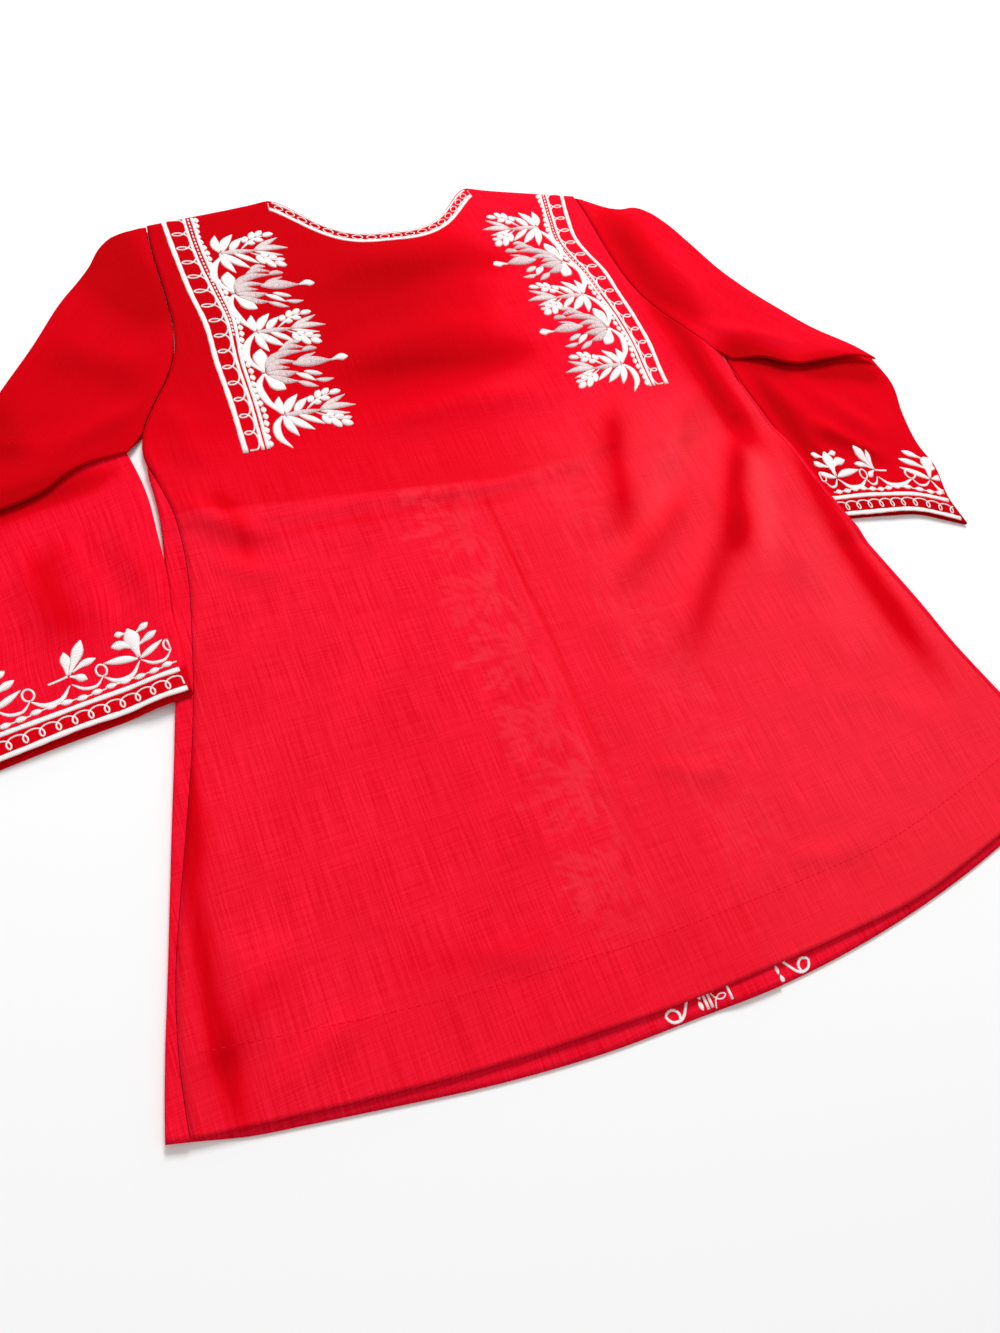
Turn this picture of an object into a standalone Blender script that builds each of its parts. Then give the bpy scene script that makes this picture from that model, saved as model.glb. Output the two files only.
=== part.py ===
"""Embroidered tunic, lying face down on a flat surface with its back up.

Sizes are millimetres. X runs to the right as seen on the back, Y from the hem to the neck, Z up.
The origin is under the middle of the outline, on the surface the tunic lies on.
"""

import bmesh
import bpy
import numpy as np

MM = 0.001
# Middle of the outline in the sizes below; the part is moved so that it lies over the origin
MIDDLE = (0.0, -1.0, 0.0)

# Cloth
WALL = 1.0
SEAM_GAP = 0.3
FRONT_LEVEL = WALL / 2
OVERLAP_LEVEL = FRONT_LEVEL + WALL + SEAM_GAP
BACK_LEVEL = 3.2
LINING_LEVEL = 3.1
YOKE_LEVEL = LINING_LEVEL + WALL + SEAM_GAP
SLEEVE_HEIGHT = 2.6

# Neck, shoulders and front opening
NECK_HALF_WIDTH = 88.0
NECK_CORNER_Y = 335.5
BACK_NECK_Y = 290.5
FRONT_NECK_Y = 236.0
SHOULDER_SLOPE = 0.18
LEFT_FRONT_EDGE_X = 19.0
RIGHT_FRONT_EDGE_X = -5.0
LINING_EDGE_Y = 40.0
LINING_EDGE_SLOPE = 0.09
LINING_INSET = 7.0
ARMPIT_Y = 113.0

# Side seams and armholes: y, x of the left one, x of the right one, and how far
# the front reaches round past the seam on each side
SIDE_COLUMNS = ("y", "left", "right", "left_reach", "right_reach")
SIDES = (
    (330.0, -181.0, 183.0, 3.0, 3.0),
    (300.0, -184.0, 186.0, 3.0, 3.0),
    (245.0, -186.0, 186.0, 3.0, 3.0),
    (215.0, -188.0, 188.0, 3.0, 3.0),
    (190.0, -194.0, 194.0, 3.0, 3.0),
    (170.0, -203.0, 204.0, 3.0, 3.0),
    (150.0, -216.0, 217.0, 3.0, 3.0),
    (130.0, -227.5, 228.5, 3.0, 3.0),
    (113.0, -233.0, 234.5, 3.0, 3.0),
    (88.0, -230.0, 234.0, 4.5, 3.2),
    (58.0, -226.0, 236.0, 9.5, 4.0),
    (30.0, -227.0, 240.0, 12.5, 4.5),
    (-36.0, -239.0, 248.0, 10.5, 5.0),
    (-91.0, -253.0, 258.0, 10.5, 5.5),
    (-144.0, -270.0, 269.0, 8.0, 5.5),
    (-177.0, -281.0, 275.0, 6.0, 5.0),
    (-212.0, -292.0, 284.0, 4.5, 5.0),
    (-250.0, -300.0, 293.0, 7.0, 7.0),
    (-290.0, -304.5, 302.0, 12.0, 11.0),
    (-312.0, -307.0, 307.0, 13.5, 12.5),
)

# Hems: x, y of the back hem, y of the front hem
HEM_COLUMNS = ("x", "back", "front")
HEMS = (
    (-317.0, -284.0, -284.0),
    (-304.0, -287.0, -288.0),
    (-279.0, -292.0, -296.0),
    (-252.0, -297.0, -302.0),
    (-219.0, -303.0, -309.0),
    (-154.0, -313.0, -322.0),
    (-96.0, -319.0, -330.0),
    (-40.0, -324.0, -334.0),
    (19.0, -326.0, -337.5),
    (78.0, -327.0, -336.5),
    (132.0, -326.0, -332.0),
    (200.0, -316.0, -322.0),
    (260.0, -304.0, -309.0),
    (313.0, -292.0, -294.0),
)

# Folds of the back: both ends of the crest, height over the cloth round it, half width
FOLD_COLUMNS = ("x0", "y0", "x1", "y1", "height", "half_width")
BACK_FOLDS = (
    (176.0, 84.0, 78.0, -20.0, 1.7, 15.0),
    (136.0, 30.0, 62.0, -46.0, -1.5, 12.0),
    (168.0, 28.0, 66.0, -72.0, 1.6, 14.0),
    (196.0, 12.0, 100.0, -100.0, -1.5, 13.0),
    (214.0, 30.0, 150.0, -90.0, 1.7, 16.0),
    (112.0, 108.0, 70.0, 10.0, -1.2, 11.0),
    (-222.0, 60.0, -170.0, 24.0, 1.4, 12.0),
    (-214.0, 28.0, -150.0, 14.0, -1.2, 10.0),
    (-292.0, -262.0, -262.0, -200.0, 1.3, 12.0),
    (232.0, -60.0, 272.0, -250.0, 1.2, 18.0),
)

# Sleeve outlines: x, y of each corner or bend, seen on the back
PLAN_COLUMNS = ("x", "y")
LEFT_SHOULDER_EDGE = (
    (-188.5, 316.0), (-197.0, 314.3), (-206.0, 313.0), (-214.0, 310.0), (-223.0, 301.5), (-235.5, 280.5),
    (-246.5, 265.0), (-256.5, 252.0), (-284.5, 208.0), (-311.0, 171.0), (-341.0, 133.0),
    (-366.0, 99.0), (-382.0, 76.0),
)
RIGHT_SHOULDER_EDGE = (
    (189.0, 314.5), (204.0, 307.0), (228.0, 298.5), (245.0, 299.0), (256.0, 291.5),
    (264.5, 279.0), (277.5, 247.0), (289.5, 213.5), (304.0, 185.0), (322.0, 158.0),
    (347.5, 126.0), (368.0, 102.0), (382.0, 87.0),
)
LEFT_PLEAT_EDGE = (
    (-382.0, 76.0), (-360.0, 79.0), (-330.0, 83.0), (-292.0, 95.0), (-279.0, 104.0),
    (-268.0, 109.0), (-255.0, 112.0), (-242.0, 114.0),
)
RIGHT_PLEAT_EDGE = (
    (382.0, 87.0), (371.0, 91.0), (357.0, 94.0), (323.0, 94.0), (299.0, 95.0),
    (286.0, 99.0), (271.0, 107.0), (243.0, 113.0),
)
LEFT_ELBOW_EDGE = (
    (-384.0, 80.0), (-387.0, 52.0), (-379.0, 18.0), (-373.0, -12.0), (-374.0, -34.0),
    (-369.0, -79.0),
)
RIGHT_ELBOW_EDGE = (
    (384.0, 90.0), (387.0, 61.0), (376.0, 27.0), (370.0, -7.0), (372.0, -27.0),
    (364.0, -62.0), (365.0, -87.0),
)
LEFT_FOREARM_EDGE = (
    (-248.0, 134.0), (-243.0, 112.0), (-239.0, 81.0), (-240.0, 47.0), (-242.0, 12.0),
    (-245.0, -9.0), (-246.0, -39.0), (-247.0, -63.5),
)
RIGHT_FOREARM_EDGE = (
    (249.0, 134.0), (246.0, 112.0), (246.0, 60.0), (247.0, 12.0), (249.0, -20.0),
    (250.0, -55.0),
)
LEFT_CUFF = ((-369.0, -79.0), (-323.0, -72.0), (-280.0, -67.0), (-247.0, -63.5))
RIGHT_CUFF = ((365.0, -87.0), (348.0, -78.0), (330.0, -69.0), (297.0, -62.0), (250.0, -55.0))
LEFT_HIDDEN_EDGE = ((-384.0, 80.0), (-320.0, 106.0), (-248.0, 134.0))
RIGHT_HIDDEN_EDGE = ((384.0, 90.0), (320.0, 112.0), (249.0, 134.0))

SLEEVE_FOLDS = (
    (-200.0, 262.0, -330.0, 112.0, 1.0, 12.0),
    (-208.0, 206.0, -284.0, 132.0, 1.2, 13.0),
    (206.0, 250.0, 300.0, 120.0, 1.2, 13.0),
    (222.0, 168.0, 288.0, 114.0, 1.2, 12.0),
    (262.0, 104.0, 300.0, -20.0, 1.1, 11.0),
    (300.0, 92.0, 344.0, -30.0, 1.2, 12.0),
    (-300.0, 84.0, -284.0, -30.0, 1.0, 14.0),
    (-352.0, 70.0, -346.0, -40.0, 1.1, 13.0),
)


def column(rows, names, name):
    return np.array([row[names.index(name)] for row in rows])


def ramp(low, high, value):
    """Goes smoothly from 0 at low to 1 at high."""
    share = np.clip((value - low) / (high - low), 0.0, 1.0)
    return share * share * (3.0 - 2.0 * share)


def smooth_line(keys, values):
    """A smooth curve through the rows of a table, as a function of the key."""
    order = np.argsort(keys)
    k = np.asarray(keys)[order]
    v = np.asarray(values)[order]
    slope = np.gradient(v, k)
    at = np.linspace(k[0], k[-1], 801)
    i = np.clip(np.searchsorted(k, at) - 1, 0, len(k) - 2)
    h = k[i + 1] - k[i]
    t = (at - k[i]) / h
    curve = v[i] * (1 + 2 * t) * (1 - t) ** 2 + v[i + 1] * t * t * (3 - 2 * t)
    curve = curve + h * (slope[i] * t * (1 - t) ** 2 + slope[i + 1] * t * t * (t - 1))
    return lambda key: float(np.interp(key, at, curve))


def table_lines(rows, names):
    keys = column(rows, names, names[0])
    return {name: smooth_line(keys, column(rows, names, name)) for name in names[1:]}


SIDE_LINES = table_lines(SIDES, SIDE_COLUMNS)
HEM_LINES = table_lines(HEMS, HEM_COLUMNS)


def side(name, y):
    return SIDE_LINES[name](y)


def hem(name, x):
    return HEM_LINES[name](x)


def outline(rows):
    """A smooth line through plan points, as a function of the share of its length."""
    points = np.array(rows)
    steps = np.hypot(*np.diff(points, axis=0).T)
    length = np.concatenate([[0.0], np.cumsum(steps)])
    share = length / length[-1]
    line_x = smooth_line(share, points[:, 0])
    line_y = smooth_line(share, points[:, 1])
    return lambda at: np.array([line_x(at), line_y(at)])


def fold_height(rows, x, y):
    """Height that the listed folds add at a point; each fades towards its ends."""
    x0, y0, x1, y1, height, half_width = np.array(rows).T
    run_x = x1 - x0
    run_y = y1 - y0
    length = np.hypot(run_x, run_y)
    along = ((x - x0) * run_x + (y - y0) * run_y) / length ** 2
    across = ((x - x0) * run_y - (y - y0) * run_x) / length
    fade = ramp(-0.1, 0.3, along) * ramp(-0.1, 0.3, 1.0 - along)
    return float(np.sum(height * fade * np.exp(-(across / half_width) ** 2)))


def shoulder_y(x):
    return NECK_CORNER_Y - SHOULDER_SLOPE * max(abs(x) - NECK_HALF_WIDTH, 0.0)


def neck_y(x, bottom):
    """Top edge of a body panel: the shoulder seam, and the neckline between the neck corners."""
    share = min(abs(x) / NECK_HALF_WIDTH, 1.0)
    dip = (NECK_CORNER_Y - bottom) * (1.0 - share ** 3.25) ** 2.1
    return shoulder_y(x) - dip


def lining_edge_y(x):
    return LINING_EDGE_Y + LINING_EDGE_SLOPE * abs(x + 5.0)


def right_edge_lift(x, y):
    """How far the right edge of the body is raised by the cuff end of the sleeve under it."""
    edge = side("right", y) + side("right_reach", y)
    window = ramp(-84.0, -66.0, y) * (1.0 - ramp(14.0, 40.0, y))
    return (SLEEVE_HEIGHT + SEAM_GAP) * ramp(edge - 36.0, edge - 16.0, x) * window


def front_level(x, y, panel):
    if panel == "left":
        return FRONT_LEVEL + (OVERLAP_LEVEL - FRONT_LEVEL) * ramp(-26.0, -9.0, x)
    return FRONT_LEVEL + right_edge_lift(x, y)


def back_level(x, y):
    """Middle of the back panel's wall over the fronts and the lining."""
    edge = lining_edge_y(x)
    level = BACK_LEVEL + (YOKE_LEVEL - BACK_LEVEL) * ramp(edge - 18.0, edge - 3.0, y)
    level += fold_height(BACK_FOLDS, x, y)
    under = FRONT_LEVEL + (OVERLAP_LEVEL - FRONT_LEVEL) * ramp(-30.0, -12.0, x) * (1.0 - ramp(22.0, 34.0, x))
    lined = under + (LINING_LEVEL - under) * ramp(edge - 4.0, edge - 3.0, y)
    level = min(max(level, lined + WALL + SEAM_GAP), FRONT_LEVEL + 4.7)
    return level + right_edge_lift(x, y)


def spaced(count):
    return np.linspace(0.0, 1.0, count)


def new_material(name, colour):
    material = bpy.data.materials.new(name)
    material.use_nodes = True
    shader = material.node_tree.nodes["Principled BSDF"]
    shader.inputs["Base Color"].default_value = (*colour, 1.0)
    shader.inputs["Roughness"].default_value = 0.85
    return material


def cloth_sheet(name, collection, columns, rows, place, colour, walled=True):
    """A grid whose points are put in place one by one, given the thickness of the wall."""
    mesh = bpy.data.meshes.new(name)
    grid = bmesh.new()
    bmesh.ops.create_grid(grid, x_segments=columns - 1, y_segments=rows - 1, size=1.0)
    for vertex in grid.verts:
        i = round((vertex.co.x + 1.0) / 2.0 * (columns - 1))
        j = round((vertex.co.y + 1.0) / 2.0 * (rows - 1))
        vertex.co = [float(v - middle) * MM for v, middle in zip(place(i, j), MIDDLE)]
    bmesh.ops.remove_doubles(grid, verts=grid.verts, dist=0.00002)
    bmesh.ops.recalc_face_normals(grid, faces=grid.faces)
    grid.to_mesh(mesh)
    grid.free()
    sheet = bpy.data.objects.new(name, mesh)
    collection.objects.link(sheet)
    mesh.materials.append(new_material(name + "_cloth", colour))
    if walled:
        wall = sheet.modifiers.new("wall", "SOLIDIFY")
        wall.thickness = WALL * MM
        wall.offset = 0.0
        wall.use_rim = True
    return sheet


# Rows near the top edge of a body panel: distance below the edge, share of the turn over it
TOP_TURN = ((0.0, 1.0), (0.25, 0.55), (1.3, 0.06), (6.0, 0.0))


# Rows either side of the lining's lower edge, distance below it
EDGE_ROWS = (3.0, 10.0, 18.0)
# Rows from the shoulder to the lining's edge, closer where the armhole curves
UPPER_ROWS = (0.12, 0.25, 0.35, 0.41, 0.47, 0.53, 0.59, 0.65, 0.71, 0.75, 0.78, 0.81, 0.84, 0.87, 0.9, 1.0)


def panel_rows(lower):
    """Row list: the turn at the top, the rows to the lining's edge, then even shares to the hem."""
    rows = [("turn", drop, turned) for drop, turned in TOP_TURN]
    rows += [("upper", share, 0.0) for share in UPPER_ROWS]
    rows += [("edge", drop, 0.0) for drop in EDGE_ROWS[1:]]
    rows += [("lower", share, 0.0) for share in spaced(lower)[1:]]
    return rows


def row_y(row, x, top, bottom):
    kind, value, _ = row
    if kind == "turn":
        return top - value
    if kind == "edge":
        return lining_edge_y(x) - value
    if kind == "upper":
        start = top - TOP_TURN[-1][0]
        return start + (lining_edge_y(x) - EDGE_ROWS[0] - start) * value
    start = lining_edge_y(x) - EDGE_ROWS[-1]
    return start + (bottom - start) * value


def turn_gap(x):
    """Half the gap where front and back meet at the shoulder seam, wider by the neck corner."""
    return SEAM_GAP / 2 + 0.45 * (1.0 - ramp(NECK_HALF_WIDTH + 16.0, NECK_HALF_WIDTH + 34.0, abs(x)))


def shoulder_turn(x):
    """1 along the shoulder seams, 0 along the neckline."""
    return ramp(NECK_HALF_WIDTH, NECK_HALF_WIDTH + 18.0, abs(x))


def neck_columns():
    """Plan x positions from one neck corner to the other, closer where the neckline is steep."""
    angles = np.linspace(-90.0, 90.0, 11)
    return NECK_HALF_WIDTH * np.sin(np.radians(angles))


def build_back(collection):
    outer = np.array([0.0, 0.13, 0.26, 0.39, 0.52, 0.65, 0.79, 0.90])
    neck = neck_columns()
    count = len(outer) * 2 + len(neck)
    rows = panel_rows(16)

    def across(i, y):
        left = side("left", y) + SEAM_GAP / 2
        right = side("right", y) - SEAM_GAP / 2
        stretch_left = left / side("left", 300.0)
        stretch_right = right / side("right", 300.0)
        if i < len(outer):
            return left + (-NECK_HALF_WIDTH * stretch_left - left) * outer[i]
        if i >= len(outer) + len(neck):
            k = count - 1 - i
            return right + (NECK_HALF_WIDTH * stretch_right - right) * outer[k]
        x = neck[i - len(outer)]
        return x * (stretch_left if x < 0 else stretch_right)

    def place(i, j):
        row = rows[j]
        y = 300.0
        for _ in range(12):
            x = across(i, y)
            top_x = across(i, 318.0)
            y = row_y(row, x, neck_y(top_x, BACK_NECK_Y), hem("back", x))
        x = across(i, y)
        level = back_level(x, y)
        middle = (FRONT_LEVEL + YOKE_LEVEL) / 2 + turn_gap(x)
        turned = row[2] * shoulder_turn(across(i, 318.0))
        return x, y, level + (middle - level) * turned

    return cloth_sheet("back_panel", collection, count, len(rows), place, (0.62, 0.01, 0.03))


WRAP_STEPS = 6


def wrap_profile(panel, y, share):
    """The front's edge in section: from where it leaves the surface, up and back to the seam.

    Below the armpit it turns right over; towards the armhole it opens until it lies flat.
    """
    sign = -1.0 if panel == "left" else 1.0
    seam = side(panel, y)
    reach = side(panel + "_reach", y) * (1.0 if share > 0.0 else 0.0)
    low = front_level(seam, y, panel)
    radius = (back_level(seam, y) - low) / 2
    edge = seam + sign * (side(panel + "_reach", y) * ramp(0.0, 1.0, share) - SEAM_GAP / 2)
    tail = max(reach - radius - WALL / 2 - SEAM_GAP, 0.3)
    length = np.pi * radius + tail
    steps = np.linspace(0.0, length, 241)
    turn = share * np.pi * np.minimum(steps / (np.pi * radius), 1.0)
    out = np.cumsum(np.append(0.0, np.cos((turn[1:] + turn[:-1]) / 2))) * length / 240
    up = np.cumsum(np.append(0.0, np.sin((turn[1:] + turn[:-1]) / 2))) * length / 240
    start = edge - sign * (out.max() + WALL / 2 * share)
    arc = np.linspace(0.0, np.pi * radius, WRAP_STEPS)
    at = np.append(arc, length)
    return start, [(start + sign * np.interp(a, steps, out), low + np.interp(a, steps, up)) for a in at]


def build_front(collection, panel):
    sign = -1.0 if panel == "left" else 1.0
    opening = LEFT_FRONT_EDGE_X if panel == "left" else RIGHT_FRONT_EDGE_X
    crossing = (-9.0, -17.0, -26.0) if panel == "left" else (8.0, 18.0, 30.0)
    neck = [x for x in neck_columns() * sign if x * sign > 34.0]
    neck = sorted(neck, key=lambda x: x * sign)
    shoulder = np.array([0.10, 0.21, 0.40, 0.60, 0.80, 1.0])
    fixed = [opening, *crossing, *neck]
    count = len(fixed) + len(shoulder) + WRAP_STEPS + 1
    rows = panel_rows(14)

    def wrapped(y):
        return 1.0 - ramp(ARMPIT_Y - 30.0, ARMPIT_Y - 1.0, y)

    def flat_x(i, y):
        last = wrap_profile(panel, y, wrapped(y))[0] - sign * 2.0
        stretch = last / (side(panel, 300.0) - sign * 9.0)
        if i < len(fixed):
            spread = ramp(20.0, 88.0, abs(fixed[i]))
            return fixed[i] * (1.0 + (stretch - 1.0) * spread)
        start = neck[-1] * stretch
        return start + (last - start) * shoulder[min(i - len(fixed), len(shoulder) - 1)]

    def place(i, j):
        row = rows[j]
        y = 300.0
        for _ in range(12):
            x = flat_x(i, y)
            beyond = i - len(fixed) - len(shoulder)
            if beyond >= 0:
                x = wrap_profile(panel, y, wrapped(y))[1][beyond][0]
            top_x = x if beyond >= 0 else flat_x(i, 318.0)
            y = row_y(row, x, neck_y(top_x, FRONT_NECK_Y), hem("front", x))
        turned = row[2] * shoulder_turn(flat_x(i, 318.0))
        if beyond < 0:
            x = flat_x(i, y)
            level = front_level(x, y, panel)
        else:
            x, level = wrap_profile(panel, y, wrapped(y))[1][beyond]
        middle = (FRONT_LEVEL + YOKE_LEVEL) / 2 - turn_gap(x)
        return x, y, level + (middle - level) * turned

    return cloth_sheet("front_" + panel, collection, count, len(rows), place, (0.60, 0.01, 0.03))


def build_lining(collection):
    shares = np.concatenate([-1.0 + 0.5 * spaced(5)[:-1], np.sin(np.radians(np.linspace(-90, 90, 9))) / 2,
                             1.0 - 0.5 * spaced(5)[:-1][::-1]])
    rows = 10

    def place(i, j):
        y = 200.0
        down = j / (rows - 1)
        for _ in range(12):
            half = (side("right", y) - side("left", y)) / 2 - LINING_INSET
            x = shares[i] * half
            top_x = shares[i] * 2 * NECK_HALF_WIDTH
            top = neck_y(top_x, BACK_NECK_Y) - LINING_INSET
            y = top + (lining_edge_y(x) - top) * down
        return x, y, LINING_LEVEL

    return cloth_sheet("yoke_lining", collection, len(shares), rows, place, (0.55, 0.01, 0.03))


# Solid part of a sleeve at its long edges and at a closed end, as shares of its width and length
EDGE_SHARE = 0.03
END_SHARE = 0.15


def tube(name, collection, patch, levels, across, down, closed_end):
    """A flattened sleeve: an outer skin and an inner skin, joined at its open end.

    Each skin is two layers of a plan patch joined round their edges. Where the sleeve is
    folded under, its end is closed and solid, as the hidden layers lie together there.
    """
    radius = SLEEVE_HEIGHT / 2
    top = [(0.0, 90.0, 1), (0.0, 45.0, 1)]
    top += [(u, 0.0, 1) for u in across]
    top += [(1.0, 45.0, 1), (1.0, 90.0, 1)]
    ring = top + [(u, turn, -1) for u, turn, _ in top[::-1][1:]]
    end = 1.0 if closed_end == "far" else 0.0
    ordered = sorted(down, reverse=closed_end == "far")
    rows = [(end, 90.0, "outer"), (end, 45.0, "outer")]
    rows += [(v, 0.0, "outer") for v in ordered]
    rows += [(v, 0.0, "inner") for v in ordered[::-1]]
    rows += [(end, 90.0, "inner")]

    def place(i, j):
        u, turn_u, face = ring[i]
        v, turn_v, skin = rows[j]
        if skin == "inner":
            u = EDGE_SHARE + (1.0 - 2.0 * EDGE_SHARE) * u
            v = (1.0 - end) + (v - 1.0 + end) * (1.0 - END_SHARE)
        point = patch(u, v)
        step = 0.02
        sideways = point - patch(u + step, v) if u < 0.5 else point - patch(u - step, v)
        endways = point - patch(u, v + step) if v < 0.5 else point - patch(u, v - step)
        sideways = sideways / np.hypot(*sideways)
        endways = endways / np.hypot(*endways)
        low, high = levels(point[0], point[1], v)
        middle = (low + high) / 2
        half = (high - low) / 2
        round_edge = radius
        if skin == "inner":
            half = half - WALL
            round_edge = radius - WALL
        spread = round_edge * np.sin(np.radians(turn_u)) * sideways
        spread = spread + round_edge * np.sin(np.radians(turn_v)) * endways
        rise = half * np.cos(np.radians(turn_u)) * np.cos(np.radians(turn_v))
        return point[0] + spread[0], point[1] + spread[1], middle + face * rise

    return cloth_sheet(name, collection, len(ring), len(rows), place, (0.60, 0.01, 0.03), walled=False)


def four_sided(start, end, near, far):
    """A plan patch between four edges; each edge is a function of a share from 0 to 1."""
    def patch(u, v):
        ruled = (1 - v) * start(u) + v * end(u) + (1 - u) * near(v) + u * far(v)
        corners = (1 - u) * (1 - v) * start(0) + u * (1 - v) * start(1)
        corners = corners + (1 - u) * v * end(0) + u * v * end(1)
        return ruled - corners
    return patch


# Shares across the upper sleeve, closer where the armhole curves
SLEEVE_COLUMNS = (0.0, 0.16, 0.31, 0.43, 0.52, 0.60, 0.68, 0.76, 0.84, 0.92, 1.0)


def build_upper_sleeve(collection, hand):
    sign = -1.0 if hand == "left" else 1.0
    outer = LEFT_SHOULDER_EDGE if hand == "left" else RIGHT_SHOULDER_EDGE
    pleat = LEFT_PLEAT_EDGE if hand == "left" else RIGHT_PLEAT_EDGE
    hidden = np.array(LEFT_HIDDEN_EDGE if hand == "left" else RIGHT_HIDDEN_EDGE)
    head = outer[0][1]
    foot = 127.0

    def armhole(share):
        y = head + (foot - head) * share
        slope = (side(hand, y + 2.0) - side(hand, y - 2.0)) / 4.0
        return np.array([side(hand, y) + sign * (SEAM_GAP + 0.35) * np.hypot(1.0, slope), y])

    shift = np.array(outer[0]) - armhole(0.0)

    outer_line = outline(outer)

    def outer_edge(share):
        return outer_line(share) - shift * (1.0 - share)

    inner = np.array(pleat[-1])
    patch = four_sided(armhole, outline(pleat), outer_edge,
                       lambda v: armhole(1.0) + (inner - armhole(1.0)) * v)
    hidden_line = smooth_line(hidden[:, 0] * sign, hidden[:, 1])

    def levels(x, y, v):
        hidden_y = hidden_line(x * sign)
        from_body = (x - side(hand, y)) * sign
        lift = 1.0 - ramp(hidden_y + 4.0, hidden_y + 30.0, y)
        lift = (SLEEVE_HEIGHT + SEAM_GAP) * lift * ramp(1.0, 9.0, from_body)
        seam = back_level(side(hand, y), y) + WALL / 2
        high = lift + SLEEVE_HEIGHT + max(fold_height(SLEEVE_FOLDS, x, y), 0.0)
        high = high + (seam - high) * (1.0 - ramp(0.0, 30.0, from_body))
        return lift, max(high, lift + SLEEVE_HEIGHT)

    down = 1.0 - (1.0 - spaced(15)) ** 1.3
    return tube("sleeve_" + hand + "_upper", collection, patch, levels, SLEEVE_COLUMNS, down, "far")


def build_lower_sleeve(collection, hand):
    sign = -1.0 if hand == "left" else 1.0
    outer = LEFT_ELBOW_EDGE if hand == "left" else RIGHT_ELBOW_EDGE
    inner = LEFT_FOREARM_EDGE if hand == "left" else RIGHT_FOREARM_EDGE
    cuff = LEFT_CUFF if hand == "left" else RIGHT_CUFF
    hidden = LEFT_HIDDEN_EDGE if hand == "left" else RIGHT_HIDDEN_EDGE
    patch = four_sided(outline(hidden), outline(cuff), outline(outer), outline(inner))

    def levels(x, y, v):
        lift = 0.0
        if hand == "left":
            fold = side("left", y) - side("left_reach", y)
            over_body = back_level(side("left", y), y) + WALL / 2 + SEAM_GAP + 0.2
            lift = over_body * ramp(fold - 30.0, fold - 4.0, x) * (1.0 - ramp(22.0, 84.0, y))
        puff = max(fold_height(SLEEVE_FOLDS, x, y), 0.0) * ramp(0.16, 0.3, v)
        return lift, lift + SLEEVE_HEIGHT + puff

    return tube("sleeve_" + hand + "_lower", collection, patch, levels, spaced(9), spaced(14), "near")


def main():
    for item in list(bpy.data.objects):
        bpy.data.objects.remove(item, do_unlink=True)
    collection = bpy.data.collections.new("embroidered_tunic")
    bpy.context.scene.collection.children.link(collection)
    build_back(collection)
    build_front(collection, "left")
    build_front(collection, "right")
    build_lining(collection)
    for hand in ("left", "right"):
        build_upper_sleeve(collection, hand)
        build_lower_sleeve(collection, hand)


main()
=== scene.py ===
"""A red cotton tunic with white satin-stitch embroidery, laid face down on a pale floor.

Sizes are millimetres in the tunic's own plan: X to the right as seen on the back, Y from the hem
to the neck, Z up. Each mesh is turned to metres as it is made.
"""

import bmesh
import bpy
import numpy as np
from mathutils import Matrix, Vector


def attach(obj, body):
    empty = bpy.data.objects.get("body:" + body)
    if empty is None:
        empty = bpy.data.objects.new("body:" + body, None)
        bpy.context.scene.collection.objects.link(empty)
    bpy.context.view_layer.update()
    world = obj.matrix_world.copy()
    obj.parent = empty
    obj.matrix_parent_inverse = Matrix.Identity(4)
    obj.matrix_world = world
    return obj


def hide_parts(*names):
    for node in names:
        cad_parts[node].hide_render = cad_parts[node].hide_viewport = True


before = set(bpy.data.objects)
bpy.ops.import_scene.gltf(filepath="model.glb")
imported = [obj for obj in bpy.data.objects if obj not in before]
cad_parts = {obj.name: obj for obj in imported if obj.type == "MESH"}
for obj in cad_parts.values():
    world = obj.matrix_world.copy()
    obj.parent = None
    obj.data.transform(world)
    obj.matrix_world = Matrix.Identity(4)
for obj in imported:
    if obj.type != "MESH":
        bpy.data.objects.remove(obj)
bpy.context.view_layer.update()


# Where the tunic is seen from: standing at the left of its hem and looking down over it, so that
# the left sleeve and the hem are near and the right shoulder is far. The lens is a wide one.
CAMERA_PLACE = (-0.2710, -0.2950, 0.4994)
CAMERA_RIGHT = (0.8979, -0.37808, 0.22547)
CAMERA_DOWN = (-0.25007, -0.85962, -0.44556)
CAMERA_AHEAD = (0.36228, 0.34368, -0.86639)
LENS_LENGTH = 24.3
FILM_WIDTH = 36.0
NEAREST_SEEN = 0.01

lens = bpy.data.cameras.new("camera")
lens.lens = LENS_LENGTH
lens.sensor_width = FILM_WIDTH
lens.clip_start = NEAREST_SEEN
camera = bpy.data.objects.new("camera", lens)
bpy.context.scene.collection.objects.link(camera)
stand = Matrix.Identity(4)
for axis in range(3):
    stand[axis][0] = CAMERA_RIGHT[axis]
    stand[axis][1] = -CAMERA_DOWN[axis]
    stand[axis][2] = -CAMERA_AHEAD[axis]
    stand[axis][3] = CAMERA_PLACE[axis]
camera.matrix_world = stand
bpy.context.scene.camera = camera
bpy.context.scene.view_settings.view_transform = "Standard"


# The red cloth: a light plain-woven cotton, piece-dyed, with the slubs of its thicker warp threads
# running from neck to hem. It is matt, lets some light through, and looks deeper where it lies double;
# a deeper red is also painted on as shade, and a paler red as light.
# Millimetres to metres, and the place of the frame's origin in the plan
MM = 0.001
MIDDLE = (0.0, -1.0, 0.0)
CLOTH = 0.6
RED_BRIGHT = "FF1C3A"
RED_DEEP = "E60420"
# Where the cloth lies double, and where shade is painted on it, it goes to a fuller red first, then to a
# darker one
RED_FULLER_LAYERED_AND_SHADED = "EE0016"
RED_DOUBLED_AND_SHADED = "B20002"
# A paler red, where white stitching shows through the cloth and where light is painted on folds that face the
# lamp
RED_LIT = "FF6A70"
SLUB_WIDTH = 1.1
SLUB_LENGTH = 45.0
WEFT_SLUB_LENGTH = 30.0
# The real threads lie 0.35 mm apart, too fine to show here, so the weave is drawn coarser
WEAVE_PITCH = 1.1
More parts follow.
